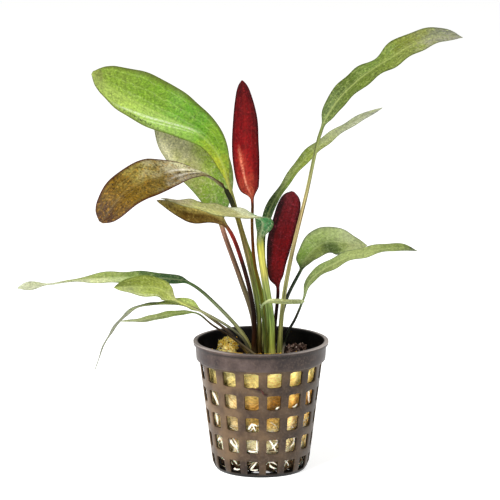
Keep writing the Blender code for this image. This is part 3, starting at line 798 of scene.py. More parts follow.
def half_width(leaf, share):
    """The blade's half-width at a share of its length: a smooth curve through its given values."""
    widths = leaf["half_widths"]
    at = (0, *leaf.get("width_at", WIDTH_AT), 1)
    values = (widths[0] * 0.25, *widths, leaf.get("tip", 0.4))
    i = min(bisect.bisect_right(at, share) - 1, len(at) - 2)
    span = at[i + 1] - at[i]
    slopes = []
    for j in (i, i + 1):
        low, high = max(j - 1, 0), min(j + 1, len(at) - 1)
        slopes.append((values[high] - values[low]) / (at[high] - at[low]) * span)
    t = (share - at[i]) / span
    value = values[i] * (1 + 2 * t) * (1 - t) ** 2 + values[i + 1] * t * t * (3 - 2 * t)
    value += slopes[0] * t * (1 - t) ** 2 - slopes[1] * t * t * (1 - t)
    past = max(0, (share - 1 + TIP_ROUND) / TIP_ROUND)
    return max(value, LEAST_WIDTH) * math.sqrt(max(0.15, 1 - past * past))


def facing(faces, share):
    """The direction of the blade's upper side at a share of its length."""
    vectors = [Vector(face).normalized() for face in faces]
    place = share * (len(vectors) - 1)
    i = min(int(place), len(vectors) - 2)
    return vectors[i].lerp(vectors[i + 1], place - i)


def eased(value, low, high):
    """0 below low, 1 above high, and smooth between."""
    t = min(max((value - low) / (high - low), 0), 1)
    return t * t * (3 - 2 * t)


def leaf_rings(leaf):
    """Where each ring of the leaf lies: its centre, its left and up, and the sizes of its section, in mm."""
    route, lengths, marks = smooth_route([Vector(point) for point in leaf["petiole"] + leaf["midrib"]])
    blade_start = lengths[marks[len(leaf["petiole"])]]
    blade_length = lengths[-1] - blade_start
    stops = [blade_start * i / PETIOLE_RINGS for i in range(PETIOLE_RINGS)]
    shares = [1 - (1 - i / BLADE_RINGS) ** 1.4 for i in range(BLADE_RINGS + 1)]  # closer towards the tip
    stops += [blade_start + blade_length * share for share in shares]
    thick, thin = leaf["radii"]
    rings = []
    for stop in stops:
        ahead = along(route, lengths, min(stop + 0.5, lengths[-1]))
        behind = along(route, lengths, max(stop - 0.5, 0))
        forward = (ahead - behind).normalized() if stop > 0 else Vector((0, 0, 1))
        share = max(0, (stop - blade_start) / blade_length)
        up = facing(leaf["faces"], share)
        up = (up - up.dot(forward) * forward).normalized()
        width = half_width(leaf, share)
        rings.append({
            "centre": along(route, lengths, stop),
            "up": up,
            "left": up.cross(forward),
            "share": share,
            "stalk": min(stop / blade_start, 1),
            "from_blade": stop - blade_start,
            "width": width,
            "radius": thick + (thin - thick) * min(stop / blade_start, 1),
            "rib": (thin - BLADE_THICKNESS / 2) * (1 - share) ** 2,
            "bladed": eased(stop - blade_start, -1.5, 5),  # 0 on the petiole, 1 on the blade
        })
    return rings


def leaf_section(leaf, ring, turn):
    """A point of a ring's section: its place to the left and up, in mm, and its share of the half-width."""
    cosine, sine = math.cos(turn), math.sin(turn)
    across = cosine * (0.35 + 0.65 * abs(cosine))  # the points crowd towards the midrib
    width = ring["width"]
    lean = leaf.get("lean", 0) * eased(ring["share"], 0, 0.25)
    if across > 0 and "notch" in leaf:
        at, depth, spread = leaf["notch"]
        width *= 1 - depth * math.exp(-(((ring["share"] - at) / spread) ** 2))
    x = width * across
    off_rib = x - lean * width
    skin = 0.06 + 0.22 * (1 - across**4) * (0.35 + 0.65 * (1 - ring["share"]))  # half the thickness
    y = math.tan(math.radians(leaf["fold"])) * abs(off_rib)
    height, length = leaf["wave"]
    phase = 2 * math.pi * ring["from_blade"] / length + (1.3 if across > 0 else 0)  # the rims differ
    ends = eased(ring["share"], 0.05, 0.3) * eased(1 - ring["share"], 0, 0.25)
    y += height * ends * across * across * math.sin(phase)  # the rims are wavy
    y += 0.1 * ends * (1 - across * across) * math.cos(6.5 * math.pi * abs(across))  # swells between veins
    groove = math.exp(-((off_rib / 0.55) ** 2)) * (1 - ring["share"])  # over the midrib
    if sine >= 0:
        y += skin - 0.16 * groove
    else:
        y -= skin + ring["rib"] * math.exp(-((off_rib / (0.45 + 0.6 * ring["rib"])) ** 2))
    radius = ring["radius"] * (1 + 0.22 * eased(0.12 - ring["stalk"], 0, 0.12))  # the foot is thicker
    flat = 1 - 0.16 * max(sine, 0)  # a petiole is a little flattened on its upper side
    mix = ring["bladed"]
    return (
        radius * cosine * (1 - mix) + x * mix,
        radius * sine * flat * (1 - mix) + y * mix,
        (across - lean) / (1 + (lean if across < lean else -lean)),
        off_rib,
    )


def grow_leaf(name, slot, **leaf):
    """A cylinder is cut into rings, and each is set to its section of the leaf."""
    rings = leaf_rings(leaf)
    last = len(rings) - 1
    piece = begin(
        name + "_tissue", bpy.ops.mesh.primitive_cylinder_add,
        vertices=AROUND, radius=1, depth=1, location=(0, 0, 0.5), end_fill_type="TRIFAN",
    )
    bpy.ops.object.mode_set(mode="EDIT")
    select_by(piece, "EDGE", lambda line: abs(line.verts[0].co.z - line.verts[1].co.z) > 0.5)
    bpy.ops.mesh.subdivide(number_cuts=last - 1)
    bpy.ops.object.mode_set(mode="OBJECT")
    places, runs = [], []
    for vertex in piece.data.vertices:
        ring = rings[round(vertex.co.z * last)]
        x = y = across = off_rib = 0  # the middle of each end
        if math.hypot(vertex.co.x, vertex.co.y) > 0.5:
            x, y, across, off_rib = leaf_section(leaf, ring, math.atan2(vertex.co.y, vertex.co.x))
        upper = 1 if vertex.co.y >= -1e-6 else 0
        point = ring["centre"] + ring["left"] * x + ring["up"] * y
        dent = noise.noise(point * 0.13 + Vector((len(name), 0, 0)))  # about 8 mm wide
        point += ring["up"] * (0.35 * dent * ring["bladed"] * eased(1 - ring["share"], 0, 0.2))
        vertex.co = point * MM
        places.append((across, ring["share"], ring["stalk"]))
        runs.append((off_rib, ring["from_blade"], upper))
    for label, rows in (("leaf_place", places), ("leaf_run", runs)):
        layer = piece.data.attributes.new(label, "FLOAT_VECTOR", "POINT")
        layer.data.foreach_set("vector", [number for row in rows for number in row])
    bpy.ops.object.mode_set(mode="EDIT")
    bpy.ops.mesh.select_all(action="SELECT")
    bpy.ops.mesh.normals_make_consistent(inside=False)
    bpy.ops.object.mode_set(mode="OBJECT")
    bpy.ops.object.shade_smooth_by_angle(angle=math.radians(75))
    piece.data.materials.append(leaf_tissue(name, leaf))
    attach(piece, "root")
    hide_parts(name)


def leaf_tissue(name, leaf):
    """Living leaf: a waxy skin, glossy and slightly uneven, over green tissue that lets light through. Veins
    arch from the base to the tip, 2 to 3 mm apart, with fine slanting ones between. A rim and blotches show
    where the tissue is thicker or older, and the underside is paler."""
    made, put = new_material(name + " tissue")
    place = put("Attribute", attribute_name="leaf_place").outputs["Vector"]
    run = put("Attribute", attribute_name="leaf_run").outputs["Vector"]
    across, share, stalk = put("SeparateXYZ", place).outputs
    x_mm, y_mm, upper = put("SeparateXYZ", run).outputs
    blotch = put("TexNoise", run, 0.22, 4, 0.6)  # 5 mm
    speck = put("TexNoise", run, 1.1, 3, 0.65)  # 1 mm
    moved = put("Math ADD", share, put("MapRange", blotch, 0.3, 0.7, -0.09, 0.09))
    left_half = put("ValToRGB", moved, stops=leaf["left"])
    right_half = put("ValToRGB", moved, stops=leaf["right"])
    seam_right, seam_left = leaf.get("seam", (-0.3, 0.3))
    side = put("MapRange", across, seam_right, seam_left, interpolation_type="SMOOTHSTEP")
    body = put("Mix RGBA", side, right_half, left_half)

    mottle_colour, mottle_strength = leaf["mottle"]
    patches = put("MapRange", speck, 0.48, 0.68, 0, mottle_strength)
    blotches = put("MapRange", blotch, 0.5, 0.7, 0, 0.6 * mottle_strength)
    spots = put("Math ADD", patches, blotches, use_clamp=True)
    mottled = put("Mix RGBA", spots, body, mottle_colour)
    ragged, spotty, grainy = put("SeparateColor", speck.outputs["Color"]).outputs  # three more noises
    fleck_colour, fleck_strength = leaf["fleck"]
    flecks = put("MapRange", spotty, 0.52, 0.68, 0, fleck_strength)
    flecked = put("Mix RGBA", flecks, mottled, fleck_colour)
    coarse = put("MapRange", grainy, 0.3, 0.7, 0.66, 1.42)
    grained = put("VectorMath MULTIPLY", flecked, coarse)

    vein_colour, vein_strength = leaf["vein"]
    wide = put("Math ABSOLUTE", across)
    bent = put("Math MULTIPLY_ADD", blotch, 0.22, wide)
    to_vein = put("Math PINGPONG", put("Math MULTIPLY", bent, 3.4), 0.5)
    arch = put("MapRange", to_vein, 0.02, 0.11, 1, 0)
    wide_mm = put("Math ABSOLUTE", x_mm)
    slant = put("Math MULTIPLY_ADD", wide_mm, 1.3, y_mm)
    wobble = put("Math MULTIPLY_ADD", blotch, 5, slant)
    to_rung = put("Math PINGPONG", put("Math MULTIPLY", wobble, 0.55), 0.5)
    cross = put("MapRange", to_rung, 0.03, 0.13, 0.55, 0)
    net = put("Math MAXIMUM", arch, cross)
    veins = put("Math MULTIPLY", net, put("MapRange", speck, 0.35, 0.6, 0, 1))
    midrib = overlap(put, (wide_mm, 0.2, 0.75, 1.3, 0), (share, 0.3, 1, 1, 0.35))
    lines = put("Math MAXIMUM", veins, midrib)
    pale = put("Math MULTIPLY", lines, vein_strength, use_clamp=True)
    veined = put("Mix RGBA", pale, grained, vein_colour)
    # Streaks paint creases: their light lines are painted highlights along the ridges, and their dark lines
    # are painted shade in the folds.
    for streak_colour, strength, start, slope, spread, low, high in leaf.get("streaks", ()):  # creases
        line = put("Math MULTIPLY_ADD", share, -slope, across)
        away = put("Math ABSOLUTE", put("Math SUBTRACT", line, start))
        ends = (share, low, low + 0.1, 0, 1), (share, high - 0.15, high, 1, 0)
        crease_light_and_shade = overlap(put, (away, 0, spread, 1, 0), *ends, (ragged, 0.4, 0.6, 0.15, strength))
        veined = put("Mix RGBA", crease_light_and_shade, veined, streak_colour)

    rim_colour, rim_strength = leaf["rim"]
    near_rim = put("MapRange", wide, leaf.get("rim_from", 0.84), 0.97, 0, rim_strength)
    rimmed = put("Mix RGBA", near_rim, veined, rim_colour)
    under = put("MapRange", upper, 0, 1, leaf.get("under", 0.35), 0)
    paler = put("Mix RGBA", under, rimmed, "A9B48A")

    stalk_ramp = put("ValToRGB", stalk, stops=leaf["stalk"])
    # The lengthwise streaks on a petiole are painted highlight lines between painted darker lines.
    drawn = put("Mapping", vector=run, scale=(2.4, 0.05, 1))
    streak = put("TexNoise", drawn, 1, 3, 0.6)  # 0.4 mm by 20 mm
    painted_highlight_lines = put("MapRange", streak, 0.36, 0.64, 0.3, 1.8)
    stalk_colour = put("VectorMath MULTIPLY", stalk_ramp, painted_highlight_lines)
    on_blade = put("MapRange", y_mm, -3, 3, interpolation_type="SMOOTHSTEP")
    colour = put("Mix RGBA", on_blade, stalk_colour, paler)

    raised = put("Math MULTIPLY", lines, on_blade)
    uneven = put("Math MULTIPLY_ADD", speck, 0.6, raised)
    relief = put("Bump", height=uneven, strength=0.35, distance=0.00025)
    sheen = put("MapRange", speck, 0.3, 0.7, 0.34, 0.5)
    skin = put(
        "BsdfPrincipled",
        base_color=colour, roughness=sheen, ior=1.42, specular_ior_level=leaf.get("gloss", 0.3),
        normal=relief,
    )
    lit = put("Mix RGBA", 0.25, colour, "C8DC50", blend_type="MULTIPLY")
    put("OutputMaterial", put("MixShader", 0.28, skin, put("BsdfTranslucent", lit)))
    return made


# Routes, half-widths, radii and waves are in mm, and folds in degrees. `faces` are the ways that the upper
# side looks, evenly spread from the base to the tip, and `lean` moves the midrib to the left. A notch in the
# left rim has a place, a depth and a spread. A blade has a ramp of colours for its left half and its right
# half, seen from above with the tip ahead, and `seam` is where one gives way to the other. Veins, flecks,
# mottle, rim and streaks have a colour and a strength. A streak also has a place across, a slope, a width and
# two ends.

grow_leaf(
    "leaf_large_green", "leaf_bright_green",
    petiole=((0.5, 3.2, FOOT), (1.6, 6, 61), (-2.6, 9.3, 80.5), (-7.2, 11.2, 94), (-11.6, 13, 109.5)),
    midrib=(
        (-13.5, 14, 116), (-18, 16, 129.5), (-24.7, 18, 136.7), (-40, 22, 144.8), (-55.5, 25, 152.2),
        (-69, 26, 159),
    ),
    faces=((0.25, -0.9, 0.3), (0.2, -0.85, 0.5), (0, -0.7, 0.7)),
    half_widths=(3, 6.7, 10.1, 11.2, 7.6), tip=2.5, fold=6, lean=0.28, radii=(1.3, 0.9), wave=(0.5, 17),
    left="0 B4AA1E, 10 B4BE34, 30 74A42E, 50 94B45A, 75 9EB652, 92 9AAC56, 100 8E9852",
    right="0 8A841C, 14 84A42C, 35 588E22, 65 688A22, 88 728A2E, 100 787E3E",
    stalk="0 C4C08E, 7 8A8A4A, 35 7C9A2C, 80 98943E, 100 868A48",
    vein=("D8E88C", 0.17), fleck=("C4E65A", 0.22), mottle=("46601A", 0.45), rim=("4E5222", 0.8),
    rim_from=0.8,
    streaks=(
        ("ECF4D4", 0.75, -0.62, 1.75, 0.11, 0.3, 0.86), ("E4F0C0", 0.6, -0.4, 1.75, 0.07, 0.3, 0.7),
        ("2E3E18", 1.2, 0.78, 0, 0.12, 0.5, 0.84),
    ),
)
grow_leaf(
    "leaf_green_behind", "leaf_olive_green",
    petiole=((-2, 3.9, FOOT), (-3.2, 8, 60.5), (-8.8, 13, 77)),
    midrib=((-16.2, 20, 97), (-20.3, 25, 113.5), (-25.5, 28, 123), (-31.5, 31, 132.5), (-43, 34, 147.5)),
    faces=((0.35, -0.9, 0.2), (0.3, -0.85, 0.4)),
    half_widths=(4.2, 10, 12.5, 13, 7), tip=1, fold=5, radii=(1.1, 1), wave=(0.4, 19),
    # The palest stops of the left half, from 70 percent on, are painted light that brightens the part shaded
    # by the large green leaf.
    left="0 5E7A2C, 25 7C982E, 45 A8A866, 70 E8E2BE, 85 F0EACC, 100 D8D4AC",
    right="0 4C7028, 25 688826, 50 9CB444, 80 BCC074, 100 A8AE6C",
    # The pink at the top of the petiole is partly its own colour and partly a painted highlight.
    stalk="0 3A3020, 50 6A5E44, 100 BE8A76",
    vein=("B4BA7E", 0.13), fleck=("D2CEA4", 0.45), mottle=("4A4A1E", 0.38), rim=("5E6440", 0.5),
)
grow_leaf(
    "leaf_brown_arched", "leaf_brown",
    petiole=((-0.8, 0.2, FOOT), (-1, -1.5, 64.5), (-4.9, -1, 85.5), (-10.9, -2, 108)),
    midrib=((-15.6, -3.8, 117.6), (-23.5, -9, 123), (-40, -18, 124), (-53.7, -26, 118.5), (-63, -32, 107.5)),
    faces=((-0.5, -0.3, 0.8), (-0.3, -0.75, 0.55), (-0.35, -0.85, 0.4)),
    half_widths=(1.5, 5.2, 8.9, 9, 6.6), tip=3, fold=4, radii=(1.1, 1), wave=(0.25, 15),
    left="0 34360F, 15 8E875C, 33 9C937D, 50 6D5D29, 75 6C520E, 100 42200A",
    right="0 4E4A28, 20 DAD8AA, 40 A9A280, 58 8A7E3E, 80 6A500F, 100 3C1A08",
    stalk="0 5A3E1A, 10 5C5228, 30 76843E, 60 8A7A48, 78 6E6424, 88 202206, 100 1C1F06",
    vein=("B8A468", 0.17), fleck=("C8942E", 0.4), mottle=("2E1C04", 0.8), rim=("3E140C", 0.95), gloss=0.18,
    under=0.15,
    streaks=(
        ("F0E8D8", 1.3, -0.75, 1.6, 0.14, 0.06, 0.46), ("2E2012", 1.3, -0.5, 1.6, 0.09, 0.14, 0.46),
        ("F0E8D8", 1.2, -0.25, 1.6, 0.12, 0.14, 0.46), ("2E2012", 1.2, -0.02, 1.6, 0.09, 0.14, 0.44),
    ),
)
grow_leaf(
    "leaf_pale_level", "leaf_pale_green",
    petiole=((4.2, -3.5, FOOT), (3.9, -6, 63.5), (2, -7, 77), (0.3, -8, 88.5)),
    midrib=(
        (-0.4, -9, 96.5), (1, -11, 104.5), (-3, -14, 107), (-14, -19.5, 109), (-27, -25, 113),
        (-39.5, -27, 116.2),
    ),
    faces=((0.3, 1, 0.1), (0.4, 0.1, 0.9), (0, -0.25, 1), (0, -0.25, 1), (0, -0.2, 1)),
    half_widths=(3.5, 6.5, 7, 5.5, 2), fold=5, radii=(1.5, 1.5), wave=(0.35, 13),
    # The cream stops from 28 to 36 percent are a painted highlight along the crest where the blade bends
    # over.
    left="0 48642C, 12 2E7A44, 20 4E9A5C, 28 E8EECA, 36 DCDCA6, 45 C0BC7E, 70 DAD98A, 90 988C68, 100 4A2C20",
    right="0 48642C, 15 2E7A44, 22 8EBC7C, 30 DCE2C0, 42 B6B67C, 70 AEB06C, 90 A0927A, 100 3E241C",
    stalk="0 B0A858, 8 90963E, 35 7E984A, 64 828A46, 70 A09A4C, 90 A4A042, 100 989A3A",
    vein=("DADAAC", 0.23), fleck=("E6E4BC", 0.4), mottle=("6A6A30", 0.45), rim=("46582C", 0.75), under=0,
)
grow_leaf(
    "leaf_brown_low", "leaf_brown",
    petiole=((-2.8, -1.4, FOOT), (-3, -3, 65.5), (-7.7, -7, 87)),
    midrib=((-13.2, -10, 101), (-19, -12, 106.5), (-29.5, -18, 109.5), (-41.4, -21, 114.3)),
    faces=((0, -0.8, 0.5), (0, -0.9, 0.4)),
    half_widths=(1.5, 3.7, 4.8, 3.6, 1.4), fold=5, radii=(1, 0.8), wave=(0.3, 12),
    left="0 4E200E, 30 94763A, 60 644816, 100 8A7C3C",
    right="0 402C15, 30 E0CE78, 70 94843B, 100 6A6040",
    stalk="0 5A4A2C, 7 2C180A, 20 1E0C04, 40 180B03, 70 260A04, 80 701810, 100 8A2018",
    vein=("A89458", 0.15), fleck=("BEA458", 0.45), mottle=("38260C", 0.6), rim=("2E160C", 0.85), gloss=0.15,
)
grow_leaf(
    "leaf_red_upright", "leaf_red",
    petiole=((2.3, 0.8, FOOT), (0.5, 2, 69), (-2.6, 3, 84.5), (-3.6, 3, 100)),
    midrib=((-3.5, 2.5, 110.5), (-5.2, 2, 118), (-6.3, 3, 132), (-6.4, 5, 143), (-7.6, 8, 158.3)),
    faces=((0, -1, 0), (0.1, -1, 0)),
    half_widths=(3.9, 5.3, 5.4, 4.8, 2.9), tip=1, fold=8, radii=(0.8, 0.6), wave=(0.2, 15),
    # Its right quarter and wide rim are painted darker as painted shade of the fold, and its two light
    # streaks are painted highlights.
    left="0 A85A3C, 20 94241C, 40 7C090E, 70 640408, 100 3A0408",
    right="0 6A2018, 30 640407, 60 4A0203, 100 3D050A",
    stalk="0 5E5A22, 35 7A7C28, 70 7A3E0E, 88 503810, 100 320804",
    vein=("B8443A", 0.12), fleck=("B02C2C", 0.25), mottle=("30040A", 0.5), rim=("2A0206", 0.9),
    rim_from=0.72, seam=(-0.65, -0.3), gloss=0.12, under=0.08,
    streaks=(("F8A080", 0.85, 0.06, 0.95, 0.15, 0, 0.48), ("E87050", 0.7, 0, 0.95, 0.34, 0.24, 0.46)),
)
grow_leaf(
    "leaf_tall_right", "leaf_olive_green",
    petiole=((7.4, -2.3, FOOT), (7.9, -4, 58), (9.2, -5.5, 72), (12.6, -7, 91), (18, -8, 114)),
    midrib=(
        (24.5, -6, 141.5), (30, -5, 151), (39, -4, 160), (50, -2, 167.5), (61.5, 0, 174), (71.5, 0.5, 177),
        (80.5, 0, 176.6),
    ),
    faces=((-0.5, -0.6, 0.5), (-0.4, -0.5, 0.75), (-0.2, -0.5, 0.8), (0, -0.4, 0.9)),
    half_widths=(4.2, 6.4, 6.8, 6.8, 4.7), fold=8, radii=(1, 0.7), wave=(0.45, 14),
    notch=(0.47, 0.35, 0.08),
    left="0 627544, 25 4B5C1A, 50 6C8236, 64 6D7726, 74 7A7E3F, 100 898782",
    right="0 566639, 30 5F7125, 50 6C7B2E, 70 838C44, 80 9C9B79, 100 979391",
    stalk="0 75763A, 30 80804E, 60 9C885C, 85 808650, 100 58632C",
    vein=("D4DC8C", 0.23), fleck=("B8C870", 0.4), mottle=("2A3E10", 0.5), rim=("4A5426", 0.7),
)
grow_leaf(
    "leaf_slender_right", "leaf_olive_green",
    petiole=((3.6, 3.6, FOOT), (4, 6, 60), (1.5, 8, 80.5)),
    midrib=(
        (1.4, 9.5, 95), (3.3, 10.5, 104), (7, 13, 110.3), (19.1, 21, 125), (28.3, 25.5, 132),
        (39, 28, 138.8), (50, 30, 144),
    ),
    faces=((-0.5, -0.4, 0.6), (-0.4, -0.35, 0.85), (0, -0.4, 0.9)),
    half_widths=(3, 2.5, 3.9, 3, 2.1), fold=8, radii=(0.8, 0.6), wave=(0.25, 13),
    left="0 1E401E, 15 2C4D25, 35 98A466, 50 6F7E2A, 70 999E76, 90 93967E, 100 A8AA8A",
    right="0 1E4020, 15 22381A, 30 72853A, 55 90993C, 80 ACAE94, 100 98978E",
    stalk="0 5A6A34, 50 7A8A44, 80 5E5428, 100 2A4A1E",
    vein=("C4D088", 0.2), fleck=("C2CE8C", 0.35), mottle=("3E5E22", 0.3), rim=("46562E", 0.6),
)
grow_leaf(
    "leaf_red_leaning", "leaf_red",
    petiole=((4.8, 0.5, FOOT), (5.7, 0, 59)),
    midrib=((6.9, 0, 74.5), (5.9, -0.3, 80), (7.1, -0.8, 93), (9.7, 0, 103), (12.9, 3, 113.8)),
    faces=((0.3, -1, 0), (0.2, -1, 0)),
    half_widths=(2.8, 4.4, 5.3, 5.3, 4.4), tip=1.8, fold=12, radii=(0.8, 0.7), wave=(0.2, 13),
    left="0 6A120E, 30 2C0102, 60 240101, 85 150102, 100 52181C",
    right="0 6A1410, 30 7E0A10, 60 5A060A, 100 561418",
    stalk="0 3E2E14, 50 1C0E05, 100 280403",
    vein=("8E3038", 0.12), fleck=("B84454", 0.22), mottle=("2A0206", 0.55), rim=("160103", 0.95),
    rim_from=0.66, seam=(0.3, 0.62), gloss=0.12, under=0.08,
)
grow_leaf(
    "leaf_hooked_right", "leaf_bright_green",
    petiole=((7.4, 2.2, FOOT), (8.3, 6, 60), (10.8, 9, 69)),
    midrib=((16.3, 14, 79), (19.3, 17, 84.4), (26.5, 21, 89.3), (44, 25, 87.4)),
    faces=((-0.6, -0.5, 0.3), (-0.3, -0.65, 0.7), (0, -0.4, 1)),
    half_widths=(4.3, 6.6, 8.2, 7, 3.7), fold=6, radii=(0.8, 0.7), wave=(0.35, 12),
    left="0 173111, 20 74903A, 50 98A865, 80 AAB184, 100 88915D",
    right="0 294213, 20 8E9E52, 37 94A454, 47 465824, 56 5E7036, 70 8E9A58, 80 B0B67C, 100 9DA274",
    stalk="0 3E4428, 50 2A2C1E, 100 1A3018",
    vein=("C4D090", 0.2), fleck=("C4D09A", 0.4), mottle=("5E7438", 0.3), rim=("6A7060", 0.7),
)
grow_leaf(
    "leaf_arched_right", "leaf_bright_green",
    petiole=((8.3, 0, FOOT), (10.5, -1, 55.5), (14, -4, 63)),
    midrib=(
        (17, -8, 71.5), (20, -11, 80), (33, -16, 89.4), (43, -18, 92.8), (54.5, -19.5, 94.9),
        (62, -20, 93.8),
    ),
    faces=((-0.6, -0.35, 0.5), (-0.3, -0.3, 0.9), (0, -0.25, 1)),
    half_widths=(3.2, 4.2, 4.3, 4.3, 3), fold=8, radii=(0.7, 0.5), wave=(0.3, 13),
    left="0 46542A, 30 7E8F51, 60 9BA564, 88 7E8A48, 100 3E4630",
    right="0 8A9A60, 30 798548, 60 A5B06C, 88 8E9A58, 100 4A5238",
    stalk="0 C8BCA4, 20 1E2418, 55 1C1E18, 75 2E3024, 100 4E5E3A",
    vein=("D0DA98", 0.25), fleck=("C6D48C", 0.4), mottle=("506A34", 0.3), rim=("5E6C4E", 0.7),
)
grow_leaf(
    "leaf_bent_strap", "leaf_pale_green",
    petiole=((2.1, -4.7, FOOT), (1.2, -8.5, 61)),
    midrib=((0.5, -11, 69.5), (3, -12, 71.5), (10, -12.5, 71.5), (17.5, -12, 71.5)),
    faces=((0, -1, 0.2), (0, -1, 0.4)),
    half_widths=(0.7, 1, 1, 1, 0.9), fold=3, radii=(0.6, 0.5), wave=(0.1, 9),
    left="0 6E8440, 30 B8BA7F, 50 84864E, 100 80865A",
    right="0 6E8440, 30 7D8148, 100 667041",
    stalk="0 5D622D, 100 44541A",
    vein=("CCD4A8", 0.2), fleck=("D6DCB4", 0.4), mottle=("5E6E40", 0.3), rim=("4E5E38", 0.6),
)
grow_leaf(
    "leaf_long_left", "leaf_pale_green",
    petiole=((-3.7, 1.6, FOOT), (-6.5, 4, 53.3), (-16.3, 8, 64)),
    midrib=(
        (-29, 12, 74), (-39.5, 14, 75.5), (-61.5, 15, 75.6), (-81, 13, 74.4), (-92.5, 11.5, 73.2),
        (-99.5, 10, 72.5),
    ),
    faces=((0, -0.3, 1), (0, -0.25, 1), (0, -0.3, 1), (0, -0.3, 1), (0, -0.5, 0.9)),
    width_at=(0.1, 0.5, 0.7, 0.82, 0.92), half_widths=(4.3, 4.6, 1, 0.5, 3), tip=1, fold=4,
    radii=(0.9, 0.7), wave=(0.3, 16),
    left="0 2F5A2D, 20 163E10, 34 8BA651, 52 DEE2AC, 75 AEAF98, 100 D0D2B5",
    right="0 2C542A, 20 2A4E22, 36 7D9044, 55 A0AB60, 78 A8AC80, 100 D1D3BB",
    stalk="0 8A803E, 50 7A8260, 100 566C3E",
    vein=("D4DEA4", 0.23), fleck=("D6DEA8", 0.35), mottle=("5E7A3C", 0.25), rim=("4E6638", 0.6),
)
grow_leaf(
    "leaf_small_left", "leaf_bright_green",
    petiole=((-3.4, -3.5, FOOT), (-8, -7, 56), (-22.5, -13, 67)),
    midrib=((-33.5, -16, 72.5), (-40, -18, 77.6), (-47, -21, 79.3), (-58.5, -24, 79.7)),
    faces=((-0.2, -0.6, 0.7), (-0.2, -0.6, 0.8)),
    half_widths=(2.2, 5.2, 5.8, 5, 2.4), fold=6, radii=(0.6, 0.5), wave=(0.3, 11),
    left="0 B3B57A, 20 ACB55A, 50 9AA74F, 80 A1A972, 100 9AA55B",
    right="0 A29F70, 25 8A9441, 60 768232, 100 566029",
    stalk="0 4E4A30, 40 5A5A44, 70 96966E, 100 A4AB50",
    vein=("CCD68A", 0.23), fleck=("D2DC84", 0.35), mottle=("6E8030", 0.25), rim=("5E6E30", 0.6),
    streaks=(("E0E2B4", 0.6, 0.85, 0, 0.18, 0.1, 0.95),),
)
grow_leaf(
    "leaf_thin_left", "leaf_pale_green",
    petiole=((-1.5, -5.1, FOOT), (-12, -10, 56.5), (-19.5, -15, 62.5)),
    midrib=((-26, -19, 68.3), (-35.5, -22.5, 68.5), (-47.5, -27, 67), (-55.5, -30, 67.3)),
    faces=((0, -0.3, 1), (0, -0.25, 1)),
    half_widths=(1.5, 2.5, 2.5, 2, 1), fold=6, radii=(0.6, 0.4), wave=(0.12, 9),
    left="0 5E7028, 30 73833B, 65 898E63, 100 ABAF8B",
    right="0 5A6A2E, 30 7A8943, 65 939A64, 100 A0A680",
    stalk="0 6C5E42, 50 281C10, 80 3A2E1C, 100 3A4A18",
    vein=("C8D29A", 0.2), fleck=("CED8A4", 0.35), mottle=("5E7236", 0.25), rim=("5A6A3C", 0.6),
)
grow_leaf(
    "leaf_drooping_left", "leaf_olive_green",
    petiole=((-4.9, -1.2, FOOT), (-11.5, -2, 55.5), (-20.5, -6, 63.5)),
    midrib=(
        (-24, -8, 66.5), (-30, -10, 70.3), (-40, -15, 71.3), (-50.5, -21, 70.4), (-60.5, -29, 61),
        (-66, -33, 48),
    ),
    faces=((0, -0.7, 0.7), (0, -0.15, 1), (-0.6, 0, 0.8), (-0.9, -0.05, 0.4)),
    half_widths=(2.8, 1.8, 2, 1.8, 0.9), fold=6, radii=(0.7, 0.5), wave=(0.15, 10),
    left="0 7E8C36, 15 ADBD48, 30 C4CE8A, 60 989883, 100 9A9A8E",
    right="0 8C9E46, 15 BCCC70, 35 8E9E68, 60 8A8D80, 100 8E9284",
    stalk="0 5A4820, 30 0E0804, 60 5E4C3A, 100 7A7A4A",
    vein=("B4BC84", 0.17), fleck=("BEC49A", 0.35), mottle=("4E5836", 0.3), rim=("3E4430", 0.7),
)


# --- Peat crumbs ---
# Crumbs of dark peat and bark lie on the wool, most of them at the right, and a dried curl of root sticks to
# the outside of the wall below the first row of windows. They are dry and dull. One crumb is shaped, then
# copied.

FRONT_CRUMBS = 44
HEAP_CRUMBS = 126
LOOSE_CRUMBS = 21

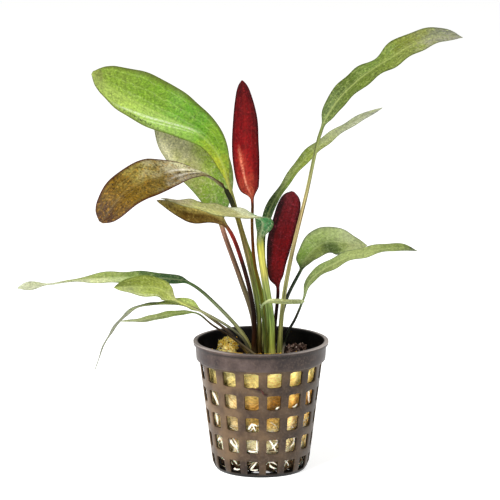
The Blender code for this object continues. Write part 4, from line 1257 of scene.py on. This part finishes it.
crumb = begin("peat_crumbs", bpy.ops.mesh.primitive_ico_sphere_add, subdivisions=2, radius=1 * MM)
roughen(crumb, "crumb breaks", 0.8, 1.7, 0.5)
crumb_mesh = crumb.data.copy()
copies = [crumb]
for _ in range(FRONT_CRUMBS + HEAP_CRUMBS + LOOSE_CRUMBS - 1):
    copies.append(crumb.copy())
    copies[-1].data = crumb_mesh.copy()
    bpy.context.scene.collection.objects.link(copies[-1])
for i, piece in enumerate(copies):
    size = between(0.35, 1)
    if i < FRONT_CRUMBS:
        angle, radius = math.radians(between(-62, 40)), between(11.5, 19.8)
        place = polar(radius, angle, PLUG_TOP[1] + 0.35 * size)
    elif i < FRONT_CRUMBS + HEAP_CRUMBS:  # a heap at the back right
        place = Vector((between(11, 19), between(10.2, 17.5), 0))
        place.z = between(46.3, 47.9 - 0.1 * abs(place.x - 15) - 0.05 * abs(place.y - 14))
        size *= 0.7
    else:
        angle, radius = between(-math.pi, math.pi), between(10.6, 19.5)
        place = polar(radius, angle, 46.1 + 0.3 * size)
    turn = Matrix.Rotation(between(0, 6.28), 4, "Z") @ Matrix.Rotation(between(0, 3.1), 4, "X")
    stretch = Matrix.Diagonal((size * 1.25, size * 0.8, size * 0.7, 1))
    piece.data.transform(Matrix.Translation(place * MM) @ turn @ stretch)
    piece.select_set(True)
bpy.context.view_layer.objects.active = crumb
bpy.ops.object.join()
bpy.ops.object.shade_smooth_by_angle(angle=math.radians(50))

# Dark peat and bark: nearly black with reddish brown, crumbly, with no gloss.
peat_finish, put = new_material("peat and bark crumbs")
place = put("TexCoord").outputs["Object"]
grains = put("TexNoise", place, 700, 4, 0.7)  # 1.4 mm
peat_colour = put("ValToRGB", grains, stops="36 140C0A, 48 40281E, 57 86685A, 68 DCCCC0")
relief = put("Bump", height=grains, strength=0.8, distance=0.0002)
shader = put("BsdfPrincipled", base_color=peat_colour, roughness=0.9, ior=1.4, normal=relief)
put("OutputMaterial", shader)
crumb.data.materials.append(peat_finish)
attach(crumb, "root")

CURL = (  # degrees to the right of the front, height, and gap to the wall
    (-11, 38, 0.3), (-8, 38.7, 0.5), (-3.5, 38.2, 0.6), (0.5, 37.6, 0.7), (2, 36.4, 0.7),
    (4.8, 35.7, 0.5), (6.2, 35.9, 0.35),
)
curl = Strands()
path = smooth_path([
    polar(wall_radius(height) + gap, math.radians(angle - 90), height) for angle, height, gap in CURL
])
curl.add(path, [0.14 + 0.2 * math.sin(math.pi * i / (len(path) - 1)) for i in range(len(path))], 0.2, sides=6)

# The curl is a dead root: dark red-brown and dull.
dead_root, put = new_material("dead root")
place = put("TexCoord").outputs["Object"]
rings = put("TexNoise", place, 900, 2)  # 1.1 mm
curl_colour = put("ValToRGB", rings, stops="35 1E0A08, 65 4A1E18")
shader = put("BsdfPrincipled", base_color=curl_colour, roughness=0.7, ior=1.4)
put("OutputMaterial", shader)
curl.finish("dried_root_curl", dead_root, "crown_tissue")
